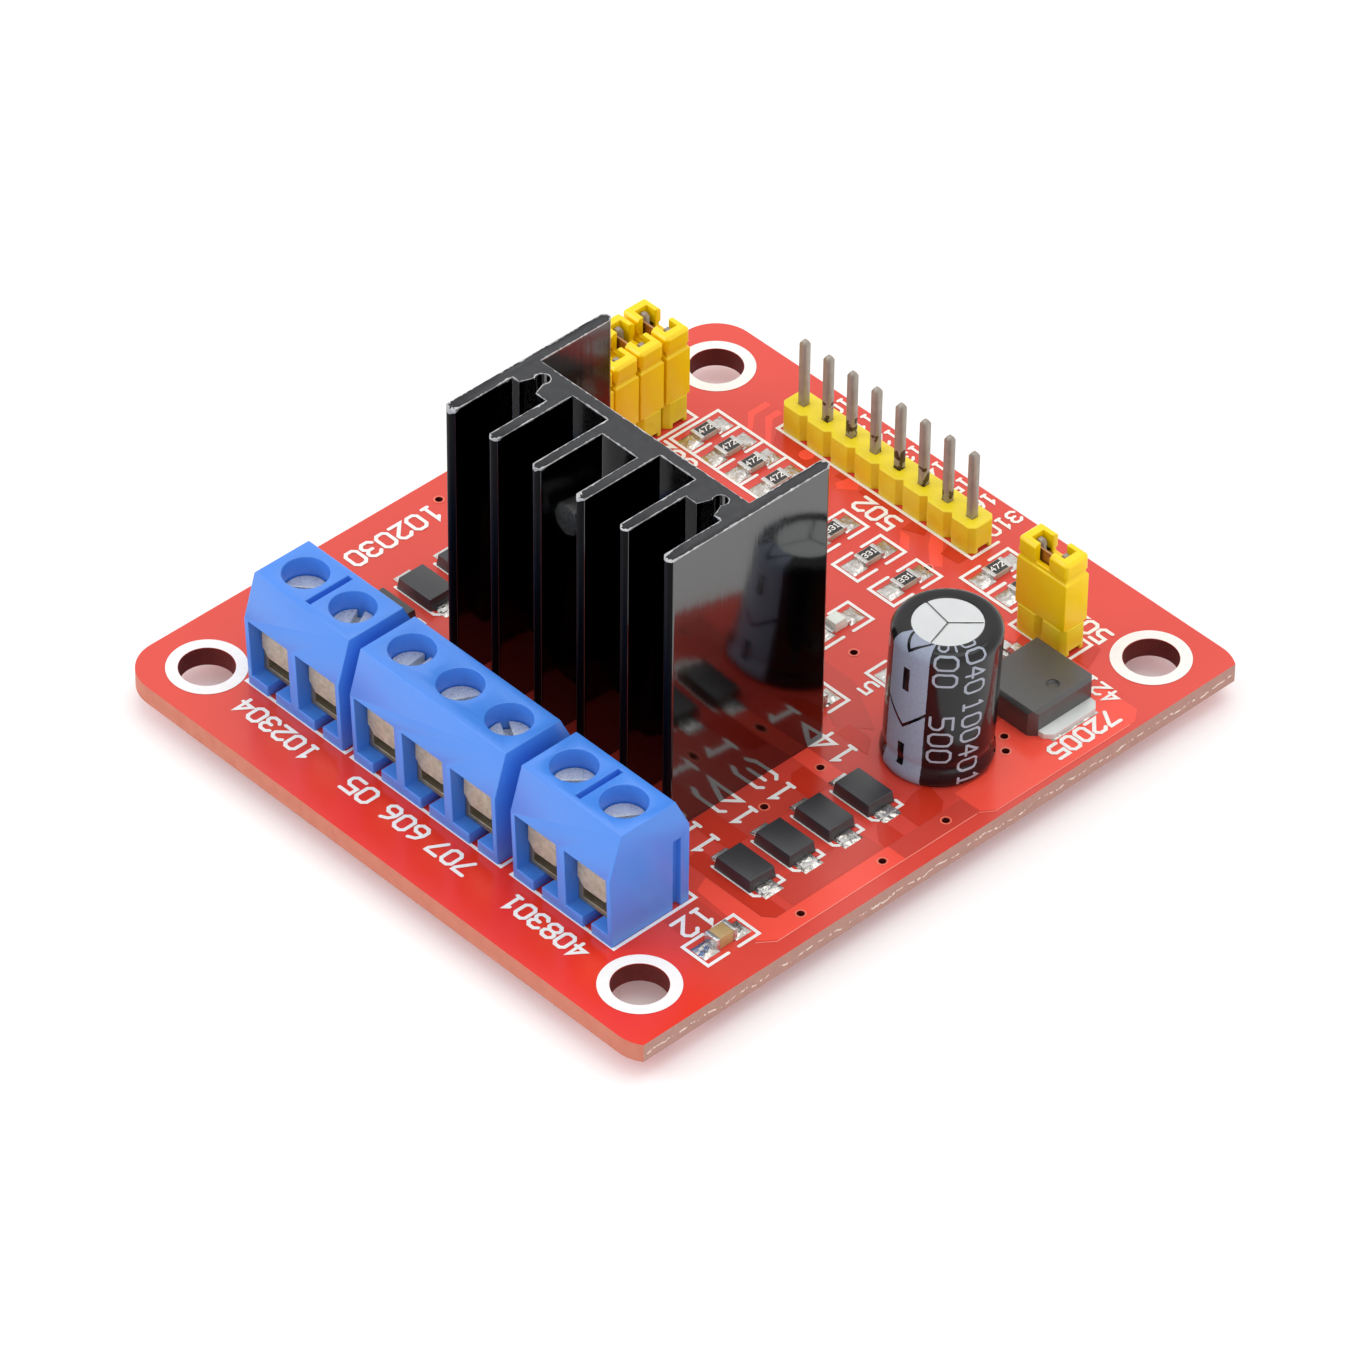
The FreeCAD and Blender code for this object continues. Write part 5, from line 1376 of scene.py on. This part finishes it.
def film_section():
    """Radius and height from foot to lip. Two bell curves make the neck and the swell
    below it, a quarter round makes the shoulder."""
    height = np.linspace(0.08, CAN_TOP - SHOULDER, 60)
    neck = 0.1 * np.exp(-(((height - 1.85) / 0.36) ** 2))
    swell = 0.14 * np.exp(-(((height - 0.62) / 0.6) ** 2))
    foot = 0.2 * np.exp(-height / 0.16)
    wall = np.column_stack([CAN_RADIUS - (neck - swell) - foot, height])
    turn = np.linspace(0, math.pi / 2, 10)
    quarter = SHOULDER * np.column_stack([np.cos(turn), np.sin(turn)])
    shoulder = quarter + np.array([CAN_RADIUS - SHOULDER, CAN_TOP - SHOULDER])
    lip = np.array([(2.78, -0.02), (2.66, -0.03), (2.6, -0.07), (2.6, -0.3)]) + np.array([0, CAN_TOP])
    return np.concatenate([wall, shoulder[1:], lip])


print("film section:", len(film_section()), "points")

# %% [markdown]
# ## Print on the film
# The film is nearly black with one pale grey stripe, which marks a pole. Dark bars and
# chevrons repeat down the stripe. All of it is computed from the place on the film, so
# the pattern needs no picture.

# %% Film material
STRIPE_HALF, PATTERN_PERIOD = 0.0695, 0.567
BAR_HALF, BAR_MIDDLE, BAR_LENGTH = 0.0115, 0.349, 0.15
CHEVRON_SLOPE, CHEVRON_MIDDLE, CHEVRON_HALF = 3.55, 0.728, 0.024


def stripe_share(tree, around, tall):
    """1 on the pale part of the stripe. A bar is a small rectangle in each repeat, and a
    chevron is a line where the height falls by the distance from the stripe's middle."""
    stripe = near(tree, around, 0.5, STRIPE_HALF)
    repeat = math_node(tree, "FRACT", math_node(tree, "MULTIPLY", tall, 1 / PATTERN_PERIOD))
    across = near(tree, around, 0.5, BAR_HALF)
    bar = math_node(tree, "MULTIPLY", across, near(tree, repeat, BAR_MIDDLE, BAR_LENGTH))
    aside = math_node(tree, "ABSOLUTE", math_node(tree, "SUBTRACT", around, 0.5))
    fold = math_node(tree, "SUBTRACT", repeat, math_node(tree, "MULTIPLY", aside, CHEVRON_SLOPE))
    chevron = near(tree, fold, CHEVRON_MIDDLE, CHEVRON_HALF)
    dark = math_node(tree, "MAXIMUM", bar, chevron)
    return math_node(tree, "MULTIPLY", stripe, math_node(tree, "SUBTRACT", 1.0, dark))


def film_material():
    """U runs round the can with the stripe at half way, V from foot to top. A fine noise
    makes the print's edges ragged, and the print is rougher than the film."""
    material, tree, shader = new_material("printed_film")
    texture = tree.nodes.new("ShaderNodeTexCoord")
    parts = axes(tree, texture.outputs["UV"])
    speck = noise_node(tree, texture.outputs["Object"], 6000.0)
    shift = math_node(tree, "MULTIPLY", math_node(tree, "SUBTRACT", speck, 0.5), 0.004)
    pale = stripe_share(tree, math_node(tree, "ADD", parts["X"], shift), parts["Y"])
    print_colour = tinted(tree, 5000, colour(132, 141, 162), colour(160, 167, 186))
    tree.links.new(mix_node(tree, pale, colour(20, 18, 22), print_colour), shader.inputs["Base Color"])
    printed_rough = math_node(tree, "MULTIPLY", pale, 0.3)
    speck_rough = math_node(tree, "MULTIPLY", speck, 0.1)
    rough = math_node(tree, "ADD", math_node(tree, "ADD", printed_rough, speck_rough), 0.08)
    tree.links.new(rough, shader.inputs["Roughness"])
    add_relief(tree, speck, 0.15, 0.02)
    shader.inputs["IOR"].default_value = 1.45
    return material


film = film_material()
print("film:", film.name)

# %% [markdown]
# ## The film in place
# The film's own coordinates are written for each corner of each face. Where a face spans
# the seam, the corners past the seam count on instead of starting again at nought.

# %% Film piece
SEAM_TURN = -87.8


def wrap_film(thing, start):
    """U is the turn round the axis with start degrees at half way, V is the way along the
    section, 1 for the can's height."""
    mesh = thing.data
    count = len(mesh.vertices)
    co = np.zeros((count, 3))
    mesh.vertices.foreach_get("co", co.ravel())
    co = co / MM
    offset = np.outer(co[:, 2] - BOARD_TOP, math.tan(LEAN) * LEAN_WAY[:2])
    x, y = (co[:, :2] - np.array([CAN_X, CAN_Y]) - offset).T
    u = ((np.degrees(np.arctan2(y, x)) - start) / 360 + 0.5) % 1.0
    index = np.zeros(len(mesh.loops), np.int32)
    mesh.loops.foreach_get("vertex_index", index)
    turn = u[index].reshape(-1, 4)
    turn = np.where(turn < turn.max(axis=1, keepdims=True) - 0.5, turn + 1, turn)
    run = 0.08 + run_along(film_section())
    tall = np.repeat(run / CAN_TOP, count // len(run))
    uv = np.stack([turn.ravel(), tall[index]], axis=1)
    mesh.uv_layers.new(name="wrap").data.foreach_set("uv", uv.ravel())


points, faces = turned(film_section())
sleeve = piece("capacitor_film", points, faces, film, smooth=True)
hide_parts("capacitor_sleeve")
wrap_film(sleeve, SEAM_TURN)
print("capacitor film:", len(sleeve.data.polygons), "faces")

# %% [markdown]
# ## The bare top
# The top is a little hollow, like a dish. Its three grooves were pressed, so their walls are soft, and a
# dark line painted along each stands for the shade at its bottom.

# %% Bare top
GROOVES = ((46, 0.11), (170, 0.075), (287, 0.075))
TOP_RADIUS, TOP_DEPTH, DISH_RISE = 2.66, 0.13, 0.05
GROOVE_DEPTH, GROOVE_HALF, SHADE_REACH = 0.1, 0.06, 2.5


def dish(reach):
    """How far the top has risen at a distance from its middle, by the square of it."""
    return DISH_RISE * (reach / TOP_RADIUS) ** 2


def vent_disc(rows=40, count=240):
    """The bare top: the dish, less a groove along three rays whose depth falls off with
    the distance from the ray as a bell curve."""
    radius = np.linspace(0.0, TOP_RADIUS, rows)[1:]
    flat = (radius[:, None, None] * unit_circle(count)).reshape(-1, 2)
    x, y = flat.T
    depth = np.zeros_like(x)
    for angle, _ in GROOVES:
        turn = math.radians(angle)
        along = x * math.cos(turn) + y * math.sin(turn)
        aside = -x * math.sin(turn) + y * math.cos(turn)
        depth = np.maximum(depth, np.exp(-((aside / GROOVE_HALF) ** 2)) * (along > 0))
    level = BOARD_TOP + CAN_TOP - TOP_DEPTH
    z = level + dish(np.hypot(x, y)) - GROOVE_DEPTH * depth
    centre = len(flat)
    points = np.vstack([np.stack([CAN_X + x, CAN_Y + y, z], axis=1), [CAN_X, CAN_Y, level - GROOVE_DEPTH]])
    i = np.arange(count)
    fan = np.stack([np.full(count, centre), i, (i + 1) % count], axis=1).tolist()
    return lean(points), grid_faces(rows - 1, count, wrap=True).tolist() + fan


points, faces = vent_disc()
disc = piece("capacitor_vent_disc", points, faces, can_metal, smooth=True)
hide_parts("capacitor_can")
# Dark strokes along the grooves: painted shade at their bottoms.
groove_shade_strokes = Pile()
for angle, width in GROOVES:
    way = np.array([math.cos(math.radians(angle)), math.sin(math.radians(angle))])
    line = np.array([CAN_X, CAN_Y]) + np.linspace(0, SHADE_REACH, 12)[:, None] * way
    stroke(groove_shade_strokes, line, width)
points = np.concatenate(groove_shade_strokes.points)
reach = np.hypot(points[:, 0] - CAN_X, points[:, 1] - CAN_Y)
points[:, 2] = BOARD_TOP + CAN_TOP - TOP_DEPTH + 0.01 + dish(reach)
piece("capacitor_vent_shade_lines", lean(points), groove_shade_strokes.faces, groove_shade)
print("bare top:", len(disc.data.polygons), "faces with", len(GROOVES), "grooves")

# %% [markdown]
# ## Numbers down the film
# The film's printing runs from the rim to the foot in two columns. Each stroke is drawn
# flat first, cut into short steps, and then carried round the can: its sideways place
# becomes an angle, and its length runs along the film's own section, over the shoulder.

# %% Film numbers
def finer(line, step=0.15):
    """The same line with a point at every step of its length."""
    path = np.asarray(line, float)
    length = run_along(path)
    place = np.linspace(0, length[-1], max(2, int(length[-1] / step)))
    return np.column_stack([np.interp(place, length, path[:, axis]) for axis in range(2)])


def carried_round(points, angle, lift=0.014):
    """Radius and height are read off the film's section at the distance y from its foot,
    and the angle is the given one plus x over the radius."""
    section = film_section()
    run = run_along(section)
    along = points[:, 1]
    radius = np.interp(along, run, section[:, 0]) + lift
    height = np.interp(along, run, section[:, 1]) + np.where(along > CAN_TOP - 0.7, lift, 0)
    turn = math.radians(angle) + points[:, 0] / CAN_RADIUS
    flat = [CAN_X + radius * np.cos(turn), CAN_Y + radius * np.sin(turn), BOARD_TOP + height]
    return lean(np.column_stack(flat))


film_numbers = Pile()
for number, angle, high, height in (
    ("500", -45.8, 4.6, 1.65),
    ("500", -45.8, 11.75, 1.65),
    ("10040", -13.8, 4.7, 1.5),
    ("10040", -13.8, 12.1, 1.5),
    ("1", -13.8, 0.6, 1.5),
):
    for line in number_strokes(number, (0, high), height, -90):
        flat = Pile()
        stroke(flat, finer(line), 0.2)
        film_numbers.add(carried_round(np.concatenate(flat.points), angle), flat.faces)
film_numbers.finish("capacitor_numbers", film_print, "sleeve_film")
print("film numbers:", len(film_numbers.faces), "faces")

# %% [markdown]
# ## Floor, light and background
# The module stands on a plain white table in soft light from all round, with one large
# lamp from the left and one from above. The table and the far background are lifted to
# white only where the camera or a mirror sees them, so they add no other light to the
# module, and its soft shadow stays.

# %% Floor
FLOOR_HALF, FLOOR_GLOW = 2.0, 0.14


def floor_material():
    """Matt white plus a little light of its own that only the camera and mirrors see."""
    material, tree, shader = new_material("white_table")
    shader.inputs["Base Color"].default_value = (0.86, 0.86, 0.86, 1)
    shader.inputs["Roughness"].default_value = 0.7
    shader.inputs["Specular IOR Level"].default_value = 0.1
    path = tree.nodes.new("ShaderNodeLightPath")
    seen = math_node(tree, "MAXIMUM", path.outputs["Is Camera Ray"], path.outputs["Is Glossy Ray"])
    lift = tree.nodes.new("ShaderNodeEmission")
    lift.inputs["Color"].default_value = (1, 1, 1, 1)
    tree.links.new(math_node(tree, "MULTIPLY", seen, FLOOR_GLOW), lift.inputs["Strength"])
    both = tree.nodes.new("ShaderNodeAddShader")
    tree.links.new(shader.outputs[0], both.inputs[0])
    tree.links.new(lift.outputs[0], both.inputs[1])
    tree.links.new(both.outputs[0], tree.nodes["Material Output"].inputs["Surface"])
    return material


floor_mesh = bpy.data.meshes.new("table")
corners = [(x * FLOOR_HALF, y * FLOOR_HALF, 0) for x, y in ((-1, -1), (1, -1), (1, 1), (-1, 1))]
floor_mesh.from_pydata(corners, [], [(0, 1, 2, 3)])
floor = bpy.data.objects.new("table", floor_mesh)
scene.collection.objects.link(floor)
floor.data.materials.append(floor_material())
print("table:", 2 * FLOOR_HALF, "m wide")

# %% [markdown]
# ## World and lamps
# The sky gives even light, and the lamps give the soft shadow and the highlights. What a
# mirror or the camera sees of the sky is a little brighter than what lights the module.

# %% World and lamps
AMBIENT = 0.97
world = bpy.data.worlds.new("studio")
world.use_nodes = True
scene.world = world
tree = world.node_tree
background = tree.nodes["Background"]
background.inputs["Color"].default_value = (1, 1, 1, 1)
path = tree.nodes.new("ShaderNodeLightPath")
seen = math_node(tree, "MAXIMUM", path.outputs["Is Camera Ray"], path.outputs["Is Transmission Ray"])
seen = math_node(tree, "MAXIMUM", seen, path.outputs["Is Glossy Ray"])
glow = math_node(tree, "MULTIPLY", seen, 1 - AMBIENT)
tree.links.new(math_node(tree, "ADD", AMBIENT, glow), background.inputs["Strength"])


def lamp(name, power, size, place, target=(0, 0, 8)):
    """A square soft lamp of some watts and a size in metres that faces the module."""
    data = bpy.data.lights.new(name, "AREA")
    data.energy = power
    data.size = size
    thing = bpy.data.objects.new(name, data)
    turn = (Vector(place) - Vector(target)).to_track_quat("Z", "Y")
    thing.matrix_world = Matrix.Translation(Vector(place) * MM) @ turn.to_matrix().to_4x4()
    scene.collection.objects.link(thing)


lamp("left_softbox", 1.1, 0.35, (-420, -420, 420))
lamp("top_softbox", 0.9, 0.5, (80, 120, 620))
